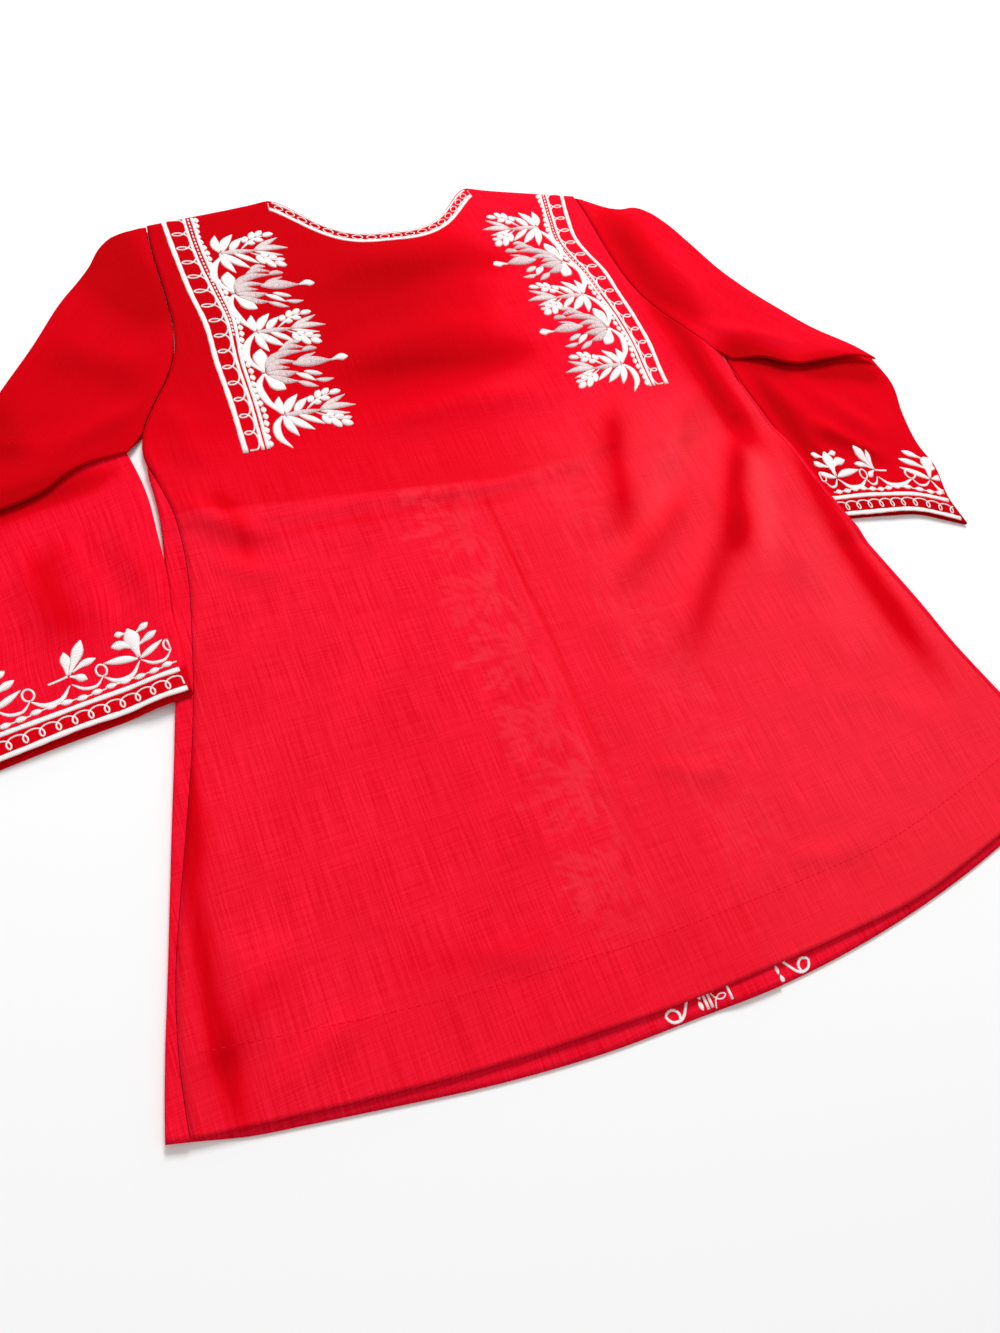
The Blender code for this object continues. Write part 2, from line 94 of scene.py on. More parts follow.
# Scale at which drawn bands lie 1 mm apart, and how high a drawn thread stands, in metres
BANDS_PER_MM = 0.314
THREAD_RELIEF = 0.0003


def linear(hex_colour):
    """An sRGB hex colour as linear red, green, blue and full cover."""
    values = [int(hex_colour[i:i + 2], 16) / 255.0 for i in (0, 2, 4)]
    return (*[v / 12.92 if v <= 0.04045 else ((v + 0.055) / 1.055) ** 2.4 for v in values], 1.0)


def feed(node, inputs):
    """Gives each input of a shader node its value, or joins it to the output that feeds it."""
    for key, value in inputs.items():
        if isinstance(value, bpy.types.NodeSocket):
            node.id_data.links.new(value, node.inputs[key])
        else:
            node.inputs[key].default_value = value
    return node


def add_node(material, kind, inputs, **settings):
    node = material.node_tree.nodes.new(kind)
    for key, value in settings.items():
        setattr(node, key, value)
    return feed(node, inputs)


def blend(material, amount, first, second):
    """One colour that goes over to another as the amount goes from 0 to 1."""
    return add_node(material, "ShaderNodeMix", {0: amount, 6: first, 7: second}, data_type="RGBA").outputs[2]


def maths(material, operation, *values, clamp=False):
    node = add_node(material, "ShaderNodeMath", dict(enumerate(values)), operation=operation, use_clamp=clamp)
    return node.outputs["Value"]


def ranged(material, value, low, high, to_low=0.0, to_high=1.0):
    node = add_node(material, "ShaderNodeMapRange", {
        "Value": value, "From Min": low, "From Max": high, "To Min": to_low, "To Max": to_high})
    return node.outputs["Result"]


def noise(material, place, stretch, detail, roughness=0.5):
    """Uneven spots; stretch says how closely they follow each other along and across."""
    stretched = add_node(material, "ShaderNodeMapping", {"Vector": place, "Scale": stretch})
    node = add_node(material, "ShaderNodeTexNoise", {
        "Vector": stretched.outputs["Vector"], "Scale": 1.0, "Detail": detail, "Roughness": roughness})
    return node.outputs["Fac"]


def bands(material, place, direction, pitch, uneven, detail, detail_scale=1.0):
    """Threads side by side, as bands of light and dark at a pitch in mm."""
    node = add_node(material, "ShaderNodeTexWave", {
        "Vector": place, "Scale": BANDS_PER_MM / pitch, "Distortion": uneven, "Detail": detail,
        "Detail Scale": detail_scale}, bands_direction=direction)
    return node.outputs["Fac"]


def thread_places(material):
    return add_node(material, "ShaderNodeUVMap", {}, uv_map="threads").outputs["UV"]


def painted_depth_and_light(material):
    """The two amounts of each point: depth of colour, with painted shade, and show-through, with painted
    light.
    """
    layers = add_node(material, "ShaderNodeVertexColor", {}, layer_name="layers")
    split = add_node(material, "ShaderNodeSeparateColor", {"Color": layers.outputs["Color"]})
    return split.outputs["Red"], split.outputs["Green"]


def thread_bump(material, height, strength):
    node = add_node(material, "ShaderNodeBump", {
        "Height": height, "Strength": strength, "Distance": THREAD_RELIEF})
    return node.outputs["Normal"]


def new_material(name):
    """A named material and its main shader."""
    material = bpy.data.materials.new(name)
    material.use_nodes = True
    return material, material.node_tree.nodes["Principled BSDF"]


def woven_cotton(name, bright, deep):
    """Plain-woven cotton from its thread directions, which the mesh keeps in its UV map in mm."""
    material, shader = new_material(name)
    threads = thread_places(material)
    slubs = noise(material, threads, (1.0 / SLUB_WIDTH, 1.0 / SLUB_LENGTH, 1.0), 3.0, 0.6)
    cross = noise(material, threads, (1.0 / WEFT_SLUB_LENGTH, 1.0 / SLUB_WIDTH, 1.0), 2.0)
    patches = noise(material, threads, (0.02, 0.02, 0.02), 2.0)
    both = maths(material, "MULTIPLY_ADD", cross, 0.3, maths(material, "MULTIPLY", slubs, 0.7))
    cloth = blend(material, ranged(material, both, 0.36, 0.64), linear(deep), linear(bright))
    shaded = blend(material, ranged(material, patches, 0.3, 0.7, 0.0, 0.16), cloth, linear(RED_DOUBLED_AND_SHADED))
    # The first painted amount deepens the red for double layers and for painted shade; the second makes it
    # paler for show-through and for painted light
    depth, shown_and_lit = painted_depth_and_light(material)
    deeper = blend(material, depth, linear(RED_FULLER_LAYERED_AND_SHADED), linear(RED_DOUBLED_AND_SHADED))
    layers_and_shade = blend(material, ranged(material, depth, 0.0, 0.44, 0.0, 0.9), shaded, deeper)
    warp, weft = [bands(material, threads, direction, WEAVE_PITCH, 0.6, 1.0) for direction in "XY"]
    weave = maths(material, "MULTIPLY", warp, weft)
    relief = maths(material, "MULTIPLY_ADD", slubs, 2.0, weave)
    feed(shader, {"Base Color": blend(material, shown_and_lit, layers_and_shade, linear(RED_LIT)),
                  "Normal": thread_bump(material, relief, 0.35),
                  "Roughness": 0.85, "Specular IOR Level": 0.01})
    return material


red_cotton = woven_cotton("red_plain_woven_cotton", RED_BRIGHT, RED_DEEP)


# The body's cut: shoulder slope, round neck, armholes, side seams that lie a little inside the
# folded edges, and a curved hem. The back, the two fronts and the lining are all made from these.
WALL = 1.0
SEAM_GAP = 0.3
FRONT_LEVEL = WALL / 2
OVERLAP_LEVEL = FRONT_LEVEL + WALL + SEAM_GAP
BACK_LEVEL = 3.2
BACK_RISE = 4.7
LINING_LEVEL = 3.1
YOKE_LEVEL = LINING_LEVEL + WALL + SEAM_GAP
SHOULDER_SEAM_LEVEL = (FRONT_LEVEL + YOKE_LEVEL) / 2
SLEEVE_HEIGHT = 2.6
NECK_HALF_WIDTH = 88.0
NECK_CORNER_Y = 335.5
BACK_NECK_Y = 290.5
FRONT_NECK_Y = 236.0
SHOULDER_SLOPE = 0.18
FRONT_EDGE_X = {"left": 19.0, "right": -5.0}
LINING_EDGE_Y = 40.0
LINING_EDGE_SLOPE = 0.09
LINING_INSET = 7.0
ARMPIT_Y = 113.0
# Which way from the middle each side lies
SIGN = {"left": -1.0, "right": 1.0}

# The side seams, and how far the folded edges reach beyond them
SIDE_COLUMNS = ("y", "left", "right", "left_reach", "right_reach")
SIDES = (
    (330, -181, 183, 3, 3),
    (300, -184, 186, 3, 3),
    (245, -186, 186, 3, 3),
    (215, -188, 188, 3, 3),
    (190, -194, 194, 3, 3),
    (170, -203, 204, 3, 3),
    (150, -216, 217, 3, 3),
    (130, -227.5, 228.5, 3, 3),
    (113, -233, 234.5, 3, 3),
    (88, -230, 234, 4.5, 3.2),
    (58, -226, 236, 9.5, 4),
    (30, -227, 240, 12.5, 4.5),
    (-36, -239, 248, 10.5, 5),
    (-91, -253, 258, 10.5, 5.5),
    (-144, -270, 269, 8, 5.5),
    (-177, -281, 275, 6, 5),
    (-212, -292, 284, 4.5, 5),
    (-250, -300, 293, 7, 7),
    (-290, -304.5, 302, 12, 11),
    (-312, -307, 307, 13.5, 12.5),
)

# Y of the hem's edge; the fronts are cut a little longer than the back
HEM_COLUMNS = ("x", "back", "front")
HEMS = (
    (-317, -284, -284),
    (-304, -287, -288),
    (-279, -292, -296),
    (-252, -297, -302),
    (-219, -303, -309),
    (-154, -313, -322),
    (-96, -319, -330),
    (-40, -324, -334),
    (19, -326, -337.5),
    (78, -327, -336.5),
    (132, -326, -332),
    (200, -316, -322),
    (260, -304, -309),
    (313, -292, -294),
)


def column(rows, names, name):
    """One named column of a table, as an array."""
    return np.array([row[names.index(name)] for row in rows])


def ramp(low, high, value):
    """Goes smoothly from 0 at low to 1 at high."""
    share = np.clip((value - low) / (high - low), 0.0, 1.0)
    return share * share * (3.0 - 2.0 * share)


def between(first, last, share):
    """Goes evenly from first to last as the share goes from 0 to 1."""
    return first + (last - first) * share


def smooth_line(keys, values):
    """A smooth curve through the rows of a table, as a function of the key."""
    order = np.argsort(keys)
    k = np.asarray(keys)[order]
    v = np.asarray(values)[order]
    slope = np.gradient(v, k)
    at = np.linspace(k[0], k[-1], 801)
    i = np.clip(np.searchsorted(k, at) - 1, 0, len(k) - 2)
    h = k[i + 1] - k[i]
    t = (at - k[i]) / h
    curve = v[i] * (1 + 2 * t) * (1 - t) ** 2 + v[i + 1] * t * t * (3 - 2 * t)
    curve = curve + h * (slope[i] * t * (1 - t) ** 2 + slope[i + 1] * t * t * (t - 1))
    return lambda key: np.interp(key, at, curve)


def table_lines(rows, names):
    """Each column after the first as a smooth line along the first."""
    keys = column(rows, names, names[0])
    return {name: smooth_line(keys, column(rows, names, name)) for name in names[1:]}


SIDE_LINES = table_lines(SIDES, SIDE_COLUMNS)
HEM_LINES = table_lines(HEMS, HEM_COLUMNS)


def side(name, y):
    return SIDE_LINES[name](y)


def hem(name, x):
    return HEM_LINES[name](x)


def shoulder_y(x):
    return NECK_CORNER_Y - SHOULDER_SLOPE * np.maximum(np.abs(x) - NECK_HALF_WIDTH, 0.0)


def neck_y(x, bottom):
    """Top edge of a body panel: the shoulder seam, and the neckline between the neck corners."""
    share = np.minimum(np.abs(x) / NECK_HALF_WIDTH, 1.0)
    dip = (NECK_CORNER_Y - bottom) * (1.0 - share ** 3.25) ** 2.1
    return shoulder_y(x) - dip


def lining_edge_y(x):
    return LINING_EDGE_Y + LINING_EDGE_SLOPE * np.abs(x + 5.0)


# How the cloth lies: long soft folds run down and in from the right armpit, short ones start at
# the left armpit and the left hem corner, and fine ripples cross the middle of the back.
# Columns of every fold table: x and y of the start, x and y of the end, height, half width
BACK_FOLDS = (
    (176, 84, 78, -20, 1.7, 15),
    (136, 30, 62, -46, -1.5, 12),
    (168, 28, 66, -72, 1.6, 14),
    (196, 12, 100, -100, -1.5, 13),
    (214, 30, 150, -90, 1.7, 16),
    (112, 108, 70, 10, -1.2, 11),
    (-222, 60, -170, 24, 1.4, 12),
    (-214, 28, -150, 14, -1.2, 10),
    (-292, -262, -262, -200, 1.3, 12),
    (232, -60, 272, -250, 1.2, 18),
)
BACK_CREASES = (
    (116, 100, 56, -26, 5.4, 13),
    (132, 4, 40, -68, 4.2, 12),
    (196, 40, 142, -54, 6, 14),
    (164, -14, 58, -130, 5.2, 14),
    (178, 88, 118, 4, 4.4, 13),
    (208, 10, 184, -110, 4, 13),
    (250, 30, 258, -210, 3.6, 12),
    (194, 156, 196, 56, 4, 12),
    (208, 134, 214, 30, -1.8, 9),
    (-214, 150, -198, 92, 2.2, 10),
    (-226, 64, -176, 32, 2.6, 9),
    (-218, 26, -172, -4, 1.4, 8),
    (-256, -94, -275, -178, -1.4, 7),
    (-275, -170, -281, -288, -1.4, 8),
    (-262, -100, -264, -280, 2, 11),
    (-286, -262, -236, -214, 2.2, 9),
    (-266, -286, -206, -262, 1.8, 8),
    (-150, -262, -92, -268, 1.6, 10),
    (-60, 262, 100, 276, 3.2, 17),
    (-96, 168, 76, 176, 4.6, 20),
    (-90, 108, 84, 106, 2.8, 13),
    (-180, 42, -90, 40, 0.8, 5),
    (-98, 40, 20, 33, 0.8, 5),
    (2, -190, 54, -214, 1.5, 8),
    (58, -276, 125, -284, 1.5, 8),
    (150, -180, 240, -232, 1.2, 12),
    (-22, 40, -22, -110, -0.7, 2.4),
    (-22, -96, -27, -262, -0.7, 2.4),
)
# Where several layers lie under the back the red looks deeper; where a fold turns from the light, and
# beside the armhole and the folded edges, a deeper red is painted as shade.
BACK_LAYERS_AND_SHADE = (
    (202, 222, 216, 12, 0.85, 15),
    (240, 40, 246, -214, 0.5, 12),
    (-254, -60, -276, -180, 0.6, 8),
    (-275, -160, -282, -304, 0.5, 6),
    (-196, 72, -188, 6, 0.3, 8),
    (116, 92, 58, -34, 0.38, 13),
    (138, 4, 40, -76, 0.2, 12),
    (202, 48, 146, -70, 0.42, 13),
    (176, -12, 62, -138, 0.32, 13),
    (184, 84, 140, 22, 0.12, 12),
    (-94, 146, 86, 154, 0.38, 12),
    (-90, 236, 120, 252, 0.28, 13),
    (-190, 30, -60, 27, 0.2, 4),
    (-80, 26, 10, 22, 0.16, 4),
    (-290, -264, -240, -226, 0.2, 9),
    (-200, -250, -90, -262, 0.14, 12),
    (-22, 44, -22, -120, 0.3, 1.8),
    (-22, -90, -27, -270, 0.26, 1.8),
)
# Painted light: where a fold faces the lamp, its single layer is painted a paler red.
BACK_PAINTED_LIGHT = (
    (218, 44, 166, -84, 0.14, 10),
    (170, 66, 84, -30, 0.08, 13),
    (222, -30, 196, -170, 0.05, 20),
    (-70, 196, 70, 204, 0.06, 9),
    (-80, 122, 70, 122, 0.05, 9),
)


# Share of its half width by which a fold wanders from a straight line
FOLD_WANDER = 0.22


def fold_height(rows, x, y):
    """Height that the listed folds add at a point; each fades towards its ends."""
    total = np.zeros(np.broadcast(x, y).shape)
    for start_x, start_y, end_x, end_y, height, half_width in rows:
        run_x = end_x - start_x
        run_y = end_y - start_y
        length = np.hypot(run_x, run_y)
        along = ((x - start_x) * run_x + (y - start_y) * run_y) / length ** 2
        across = ((x - start_x) * run_y - (y - start_y) * run_x) / length
        across = across + FOLD_WANDER * half_width * np.sin(6.0 * along + start_x)
        fade = ramp(-0.1, 0.3, along) * ramp(-0.1, 0.3, 1.0 - along)
        total = total + height * fade * np.exp(-(across / half_width) ** 2)
    return total


def right_edge_lift(x, y):
    """How far the right edge of the body is raised by the cuff end of the sleeve under it."""
    edge = side("right", y) + side("right_reach", y)
    window = ramp(-84.0, -66.0, y) * (1.0 - ramp(14.0, 40.0, y))
    return (SLEEVE_HEIGHT + SEAM_GAP) * ramp(edge - 36.0, edge - 16.0, x) * window


def front_level(x, y, panel):
    """Middle of a front's wall; the left front lies under the right one where they cross."""
    if panel == "left":
        return between(FRONT_LEVEL, OVERLAP_LEVEL, ramp(-26.0, -9.0, x))
    return FRONT_LEVEL + right_edge_lift(x, y)


def plain_back_level(x, y):
    """Middle of the back's wall over the fronts and the lining, with its broad folds."""
    edge = lining_edge_y(x)
    level = between(BACK_LEVEL, YOKE_LEVEL, ramp(edge - 18.0, edge - 3.0, y))
    level = level + fold_height(BACK_FOLDS, x, y)
    under = between(FRONT_LEVEL, OVERLAP_LEVEL, ramp(-30.0, -12.0, x) * (1.0 - ramp(22.0, 34.0, x)))
    lined = between(under, LINING_LEVEL, ramp(edge - 4.0, edge - 3.0, y))
    level = np.minimum(np.maximum(level, lined + WALL + SEAM_GAP), FRONT_LEVEL + BACK_RISE)
    return level + right_edge_lift(x, y)


ARMHOLE_GROOVE = 0.7


def back_level(x, y):
    """The same with the narrower creases, which fade at the seams and the hem's edge.

    Beside the armhole the cloth sinks into the groove of the seam.
    """
    inside = ramp(2.0, 16.0, x - side("left", y)) * ramp(2.0, 16.0, side("right", y) - x)
    inside = inside * (0.35 + 0.65 * ramp(0.0, 30.0, y - hem("back", x)))
    creases = fold_height(BACK_CREASES, x, y)
    seam = np.minimum(x - side("left", y), side("right", y) - x)
    groove = ARMHOLE_GROOVE * np.exp(-(seam / 3.0) ** 2) * ramp(ARMPIT_Y - 10.0, ARMPIT_Y + 6.0, y)
    groove = groove * (1.0 - ramp(-14.0, 0.0, y - shoulder_y(x)))
    edge = lining_edge_y(x)
    low = FRONT_LEVEL + WALL + SEAM_GAP
    low = between(low, LINING_LEVEL + CLOTH + SEAM_GAP, ramp(edge - 7.0, edge - 4.0, y))
    level = plain_back_level(x, y)
    return np.maximum(level + creases * inside - groove, np.minimum(low, level))


def lay_threads(mesh, run):
    """Keeps each point's place along the threads, in mm, as the mesh's UV map."""
    loop_vertex = np.empty(len(mesh.loops), dtype=np.int32)
    mesh.loops.foreach_get("vertex_index", loop_vertex)
    uv = mesh.uv_layers.new(name="threads")
    uv.data.foreach_set("uv", run[loop_vertex].astype(np.float32).ravel())


# Raises the painted depth of all the cloth together
LAYER_SHADE = 1.06


def paint_depth_and_light(mesh, layers_and_shade, shown_and_lit):
    """Keeps for each point its depth of colour, with painted shade, and its show-through, with painted light.
    """
    shades = np.ones((len(mesh.vertices), 4), dtype=np.float32)
    shades[:, 0] = np.clip(LAYER_SHADE * np.ravel(layers_and_shade), 0.0, 1.0)
    shades[:, 1] = np.ravel(shown_and_lit)
    mesh.color_attributes["layers"].data.foreach_set("color", shades.ravel())


def new_piece(name, mesh, material, run, layers_and_shade):
    """A mesh as one piece of the tunic, with its threads, its painted depth and shade, and its material."""
    lay_threads(mesh, run)
    mesh.color_attributes.new("layers", "FLOAT_COLOR", "POINT")
    paint_depth_and_light(mesh, layers_and_shade, 0.0)
    mesh.shade_smooth()
    mesh.materials.append(material)
    piece = bpy.data.objects.new(name, mesh)
    bpy.context.scene.collection.objects.link(piece)
    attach(piece, "root")
    return piece


WELD_DISTANCE = 0.00001


def cloth_piece(name, x, y, z, layers_and_shade=0.0, threads=None, wall_offset=0.0):
    """One cut of red cloth: a grid put in place point by point, given the thickness of the cloth.

    threads is the place of each point along weft and warp, and the amount before it how deep its red looks,
    from double layers and painted shade.
    """
    rows, columns = x.shape
    grid = bmesh.new()
    bmesh.ops.create_grid(grid, x_segments=columns - 1, y_segments=rows - 1, size=1.0)
    mesh = bpy.data.meshes.new(name)
    grid.to_mesh(mesh)
    grid.free()
    places = np.stack([x - MIDDLE[0], y - MIDDLE[1], z], axis=-1) * MM
    mesh.vertices.foreach_set("co", places.astype(np.float32).ravel())
    run = np.stack(threads or (x, y), axis=-1).reshape(-1, 2)
    piece = new_piece(name, mesh, red_cotton, run, layers_and_shade)
    weld = piece.modifiers.new("weld", "WELD")
    weld.merge_threshold = WELD_DISTANCE
    wall = piece.modifiers.new("wall", "SOLIDIFY")
    wall.thickness = CLOTH * MM
    wall.offset = wall_offset
    return piece


# The back: one panel from neck to hem, whose turned-up hem is 38 mm deep. Its rows follow the
# neckline above and the hem below, and the shoulders turn down to meet the fronts in a seam.
# Rows of the turned top edge: how far below the edge, and the share of the way down to the seam
TOP_TURN = ((0.0, 1.0), (0.25, 0.55), (1.3, 0.06), (6.0, 0.0))
EDGE_DROP = 3.0
HEM_DEPTH = 38.0
BACK_SIDE_COLUMNS = 30
BACK_NECK_COLUMNS = 138
BACK_UPPER_ROWS = 72
BACK_LOWER_ROWS = 150
# Heights at which the columns are spread out, and at which they meet the neckline
SPREAD_Y = 300.0
NECK_ROWS_Y = 318.0
# Marks a column that lies outside a neck corner
OUTSIDE = 1000.0
# Rows and columns depend on each other, so both are worked out again until they settle
SETTLING_ROUNDS = 14


def spaced(count):
    return np.linspace(0.0, 1.0, count)


def panel_rows(upper, lower):
    """Rows as kind (0 turn, 1 above the lining's edge, 2 below it), value, and share of the turn."""
    rows = [(0, drop, turned) for drop, turned in TOP_TURN]
    rows += [(1, share, 0.0) for share in spaced(upper)[1:]]
    rows += [(2, share, 0.0) for share in spaced(lower)[1:]]
    return [np.array(part)[:, None] for part in zip(*rows)]


def row_y(rows, x, top, bottom):
    """Plan y of every row of a panel between its top edge and its hem."""
    kind, value, _ = rows
    start = top - TOP_TURN[-1][0]
    edge = lining_edge_y(x) - EDGE_DROP
    flat = np.where(kind == 1, between(start, edge, value), between(edge, bottom, value))
    return np.where(kind == 0, top - value, flat)


def turn_gap(x):
    """Half the gap where front and back meet at the shoulder seam, wider by the neck corner."""
    near = 1.0 - ramp(NECK_HALF_WIDTH + 16.0, NECK_HALF_WIDTH + 34.0, np.abs(x))
    return SEAM_GAP / 2 + 0.45 * near


def shoulder_turn(x):
    """1 along the shoulder seams, 0 along the neckline."""
    return ramp(NECK_HALF_WIDTH, NECK_HALF_WIDTH + 18.0, np.abs(x))


def neck_columns(count):
    """Plan x positions from one neck corner to the other, closer where the neckline is steep."""
    return NECK_HALF_WIDTH * np.sin(np.radians(np.linspace(-90.0, 90.0, count)))


def back_across(shares, y):
    """Plan x of the back's columns: a share of it, or one marked as outside a neck corner."""
    left = side("left", y) + SEAM_GAP / 2
    right = side("right", y) - SEAM_GAP / 2
    stretch_left = left / side("left", SPREAD_Y)
    stretch_right = right / side("right", SPREAD_Y)
    inner = shares * np.where(shares < 0, stretch_left, stretch_right)
    from_left = between(left, -NECK_HALF_WIDTH * stretch_left, shares + OUTSIDE)
    from_right = between(right, NECK_HALF_WIDTH * stretch_right, OUTSIDE - shares)
    return np.where(shares < -OUTSIDE / 2, from_left, np.where(shares > OUTSIDE / 2, from_right, inner))


outer = spaced(BACK_SIDE_COLUMNS + 1)[:-1]
back_columns = np.concatenate([outer - OUTSIDE, neck_columns(BACK_NECK_COLUMNS), OUTSIDE - outer[::-1]])
back_columns = back_columns[None, :]
back_rows = panel_rows(BACK_UPPER_ROWS, BACK_LOWER_ROWS)
back_y = np.full((len(back_rows[0]), back_columns.shape[1]), SPREAD_Y)
for _ in range(SETTLING_ROUNDS):
    back_x = back_across(back_columns, back_y)
    top_x = back_across(back_columns, np.full_like(back_y, NECK_ROWS_Y))
    back_y = row_y(back_rows, back_x, neck_y(top_x, BACK_NECK_Y), hem("back", back_x))
back_x = back_across(back_columns, back_y)
back_z = back_level(back_x, back_y)
back_z = between(back_z, SHOULDER_SEAM_LEVEL + turn_gap(back_x), back_rows[2] * shoulder_turn(top_x))

# The red looks deeper through the lined yoke, in the turned-up hem and over the lapped fronts. Over the
# yoke a shade is painted as well, deepest at the upper left; the shares are those of the darker red.
HEM_DEEPER = 0.07
LAP_DEEPER = 0.04
YOKE_DEEPER = 0.28
YOKE_SHADE_FADES = 0.25
YOKE_TOP_SHADE = 0.5
YOKE_TOP_SHADE_FADES = 0.85

back_edge_y = lining_edge_y(back_x)
back_lined = ramp(back_edge_y - 5.0, back_edge_y + 1.0, back_y)
# Painted shade over the lined yoke: deepest at the left, and more near the top
yoke_layers_and_shade = YOKE_DEEPER - YOKE_SHADE_FADES * ramp(-40.0, 110.0, back_x)
yoke_top_shade = 1.0 - YOKE_TOP_SHADE_FADES * ramp(-20.0, 110.0, back_x)
yoke_layers_and_shade = yoke_layers_and_shade + YOKE_TOP_SHADE * ramp(70.0, 220.0, back_y) * yoke_top_shade
turned_up = 1.0 - ramp(HEM_DEPTH - 1.0, HEM_DEPTH + 1.0, back_y - hem("back", back_x))
lapped = ramp(-23.0, -21.0, back_x) * (1.0 - ramp(17.0, 19.0, back_x)) * (1.0 - ramp(20.0, 60.0, back_y))
# The back's depth of red: double layers, with painted shade over the yoke and along the folds
back_layers_and_shade = yoke_layers_and_shade * back_lined + fold_height(BACK_LAYERS_AND_SHADE, back_x, back_y)
back_layers_and_shade = back_layers_and_shade + HEM_DEEPER * turned_up + LAP_DEEPER * lapped
back_cloth = cloth_piece("back_cloth", back_x, back_y, back_z, back_layers_and_shade)
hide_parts("back_panel")


# The fronts: two panels, the right one outside the left one where they cross. Each turns up round
# the side to meet the back in the side seam, and opens flat towards the armhole.
FRONT_COLUMNS = 46
FRONT_SHOULDER_COLUMNS = 30
FRONT_UPPER_ROWS = 66
FRONT_LOWER_ROWS = 96
WRAP_COLUMNS = 14
WRAP_STEPS = 240


def wrap_profile(panel, y, share):
    """The front's edge in section, for each y: where it leaves the surface, its x and its z."""
    sign = SIGN[panel]
    seam = side(panel, y)
    reach = side(panel + "_reach", y)
    low = front_level(seam, y, panel)
    radius = (plain_back_level(seam, y) - low) / 2
    edge = seam + sign * (reach * share ** 2 * (3.0 - 2.0 * share) - SEAM_GAP / 2)
    tail = np.maximum(np.where(share > 0.0, reach, 0.0) - radius - WALL / 2 - SEAM_GAP, 0.3)
    length = np.pi * radius + tail
    steps = length[:, None] * spaced(WRAP_STEPS + 1)
    turn_share = np.minimum(steps / (np.pi * radius)[:, None], 1.0)
    angle = share[:, None] * np.pi * turn_share
    middle = (angle[:, 1:] + angle[:, :-1]) / 2
    none = np.zeros((len(y), 1))
    out, rise = [np.concatenate([none, np.cumsum(step, axis=1)], axis=1) * length[:, None] / WRAP_STEPS
                 for step in (np.cos(middle), np.sin(middle))]
    start = edge - sign * (out.max(axis=1) + WALL / 2 * share)
    at = np.concatenate([spaced(WRAP_COLUMNS) * 0.94, [1.0]])
    pick = np.rint(at * WRAP_STEPS).astype(int)
    return start, start[:, None] + sign * out[:, pick], low[:, None] + rise[:, pick]


def make_front(panel):
    """Places of a front's grid: from its opening to the shoulder's columns, then round the side."""
    sign = SIGN[panel]
    y_list = np.linspace(-345.0, 335.0, 681)
    share = 1.0 - ramp(ARMPIT_Y - 30.0, ARMPIT_Y - 1.0, y_list)
    start, wrap_x, wrap_z = wrap_profile(panel, y_list, share)
    inner = between(FRONT_EDGE_X[panel] * sign, NECK_HALF_WIDTH, np.sin(np.pi / 2 * spaced(FRONT_COLUMNS)))
    flat_columns = FRONT_COLUMNS + FRONT_SHOULDER_COLUMNS
    count = flat_columns + WRAP_COLUMNS + 1
    index = np.arange(count)[None, :]
    shoulder = np.clip((index - FRONT_COLUMNS + 1) / FRONT_SHOULDER_COLUMNS, 0.0, 1.0)
    fixed = sign * inner[np.minimum(index, FRONT_COLUMNS - 1)]
    wrap_index = np.clip(index - flat_columns, 0, WRAP_COLUMNS)
    rows = panel_rows(FRONT_UPPER_ROWS, FRONT_LOWER_ROWS)
    y = np.full((len(rows[0]), count), SPREAD_Y)

    def place(table, y):
        parts = [np.interp(y[:, k], y_list, table[:, wrap_index[0, k]]) for k in range(count)]
        return np.stack(parts, axis=1)

    def across(y):
        last = np.interp(y, y_list, start) - sign * 2.0
        stretch = last / (side(panel, SPREAD_Y) - sign * 9.0)
        spread = ramp(20.0, 88.0, np.abs(fixed))
        near = fixed * (1.0 + (stretch - 1.0) * spread)
        return np.where(index < flat_columns, between(near, last, shoulder), place(wrap_x, y))

    for _ in range(SETTLING_ROUNDS):
        x = across(y)
        far = across(np.full_like(y, NECK_ROWS_Y))
        y = row_y(rows, x, neck_y(far, FRONT_NECK_Y), hem("front", x))
    x = across(y)
    level = front_level(x, y, panel)
    z = np.where(index < flat_columns, level, place(wrap_z, y))
    return x, y, between(z, SHOULDER_SEAM_LEVEL - turn_gap(x), rows[2] * shoulder_turn(far))


for panel in SIGN:
    front_cloth = cloth_piece("front_cloth_" + panel, *make_front(panel))
    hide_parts("front_" + panel)


# The yoke lining: a second layer of the same cotton inside the upper back, cut 7 mm short of the
# neckline and the armholes, with a straight lower edge that shows through as a darker zone.
LINING_COLUMNS = 61
LINING_ROWS = 40
# The lining lies under the back and is painted a deeper red as shade
LINING_SHADE = 0.5

lining_shares = np.sin(np.radians(np.linspace(-90.0, 90.0, LINING_COLUMNS)))[None, :]
lining_down = spaced(LINING_ROWS)[:, None]
lining_y = np.full((LINING_ROWS, LINING_COLUMNS), 200.0)
for _ in range(SETTLING_ROUNDS):
    lining_half = (side("right", lining_y) - side("left", lining_y)) / 2 - LINING_INSET
    lining_x = lining_shares * lining_half
    lining_top = neck_y(lining_shares * 2 * NECK_HALF_WIDTH, BACK_NECK_Y) - LINING_INSET
    lining_y = between(lining_top, lining_edge_y(lining_x), lining_down)
lining_cloth = cloth_piece("lining_cloth", lining_x, lining_y, np.full_like(lining_x, LINING_LEVEL),
                           np.full_like(lining_x, LINING_SHADE))
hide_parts("yoke_lining")


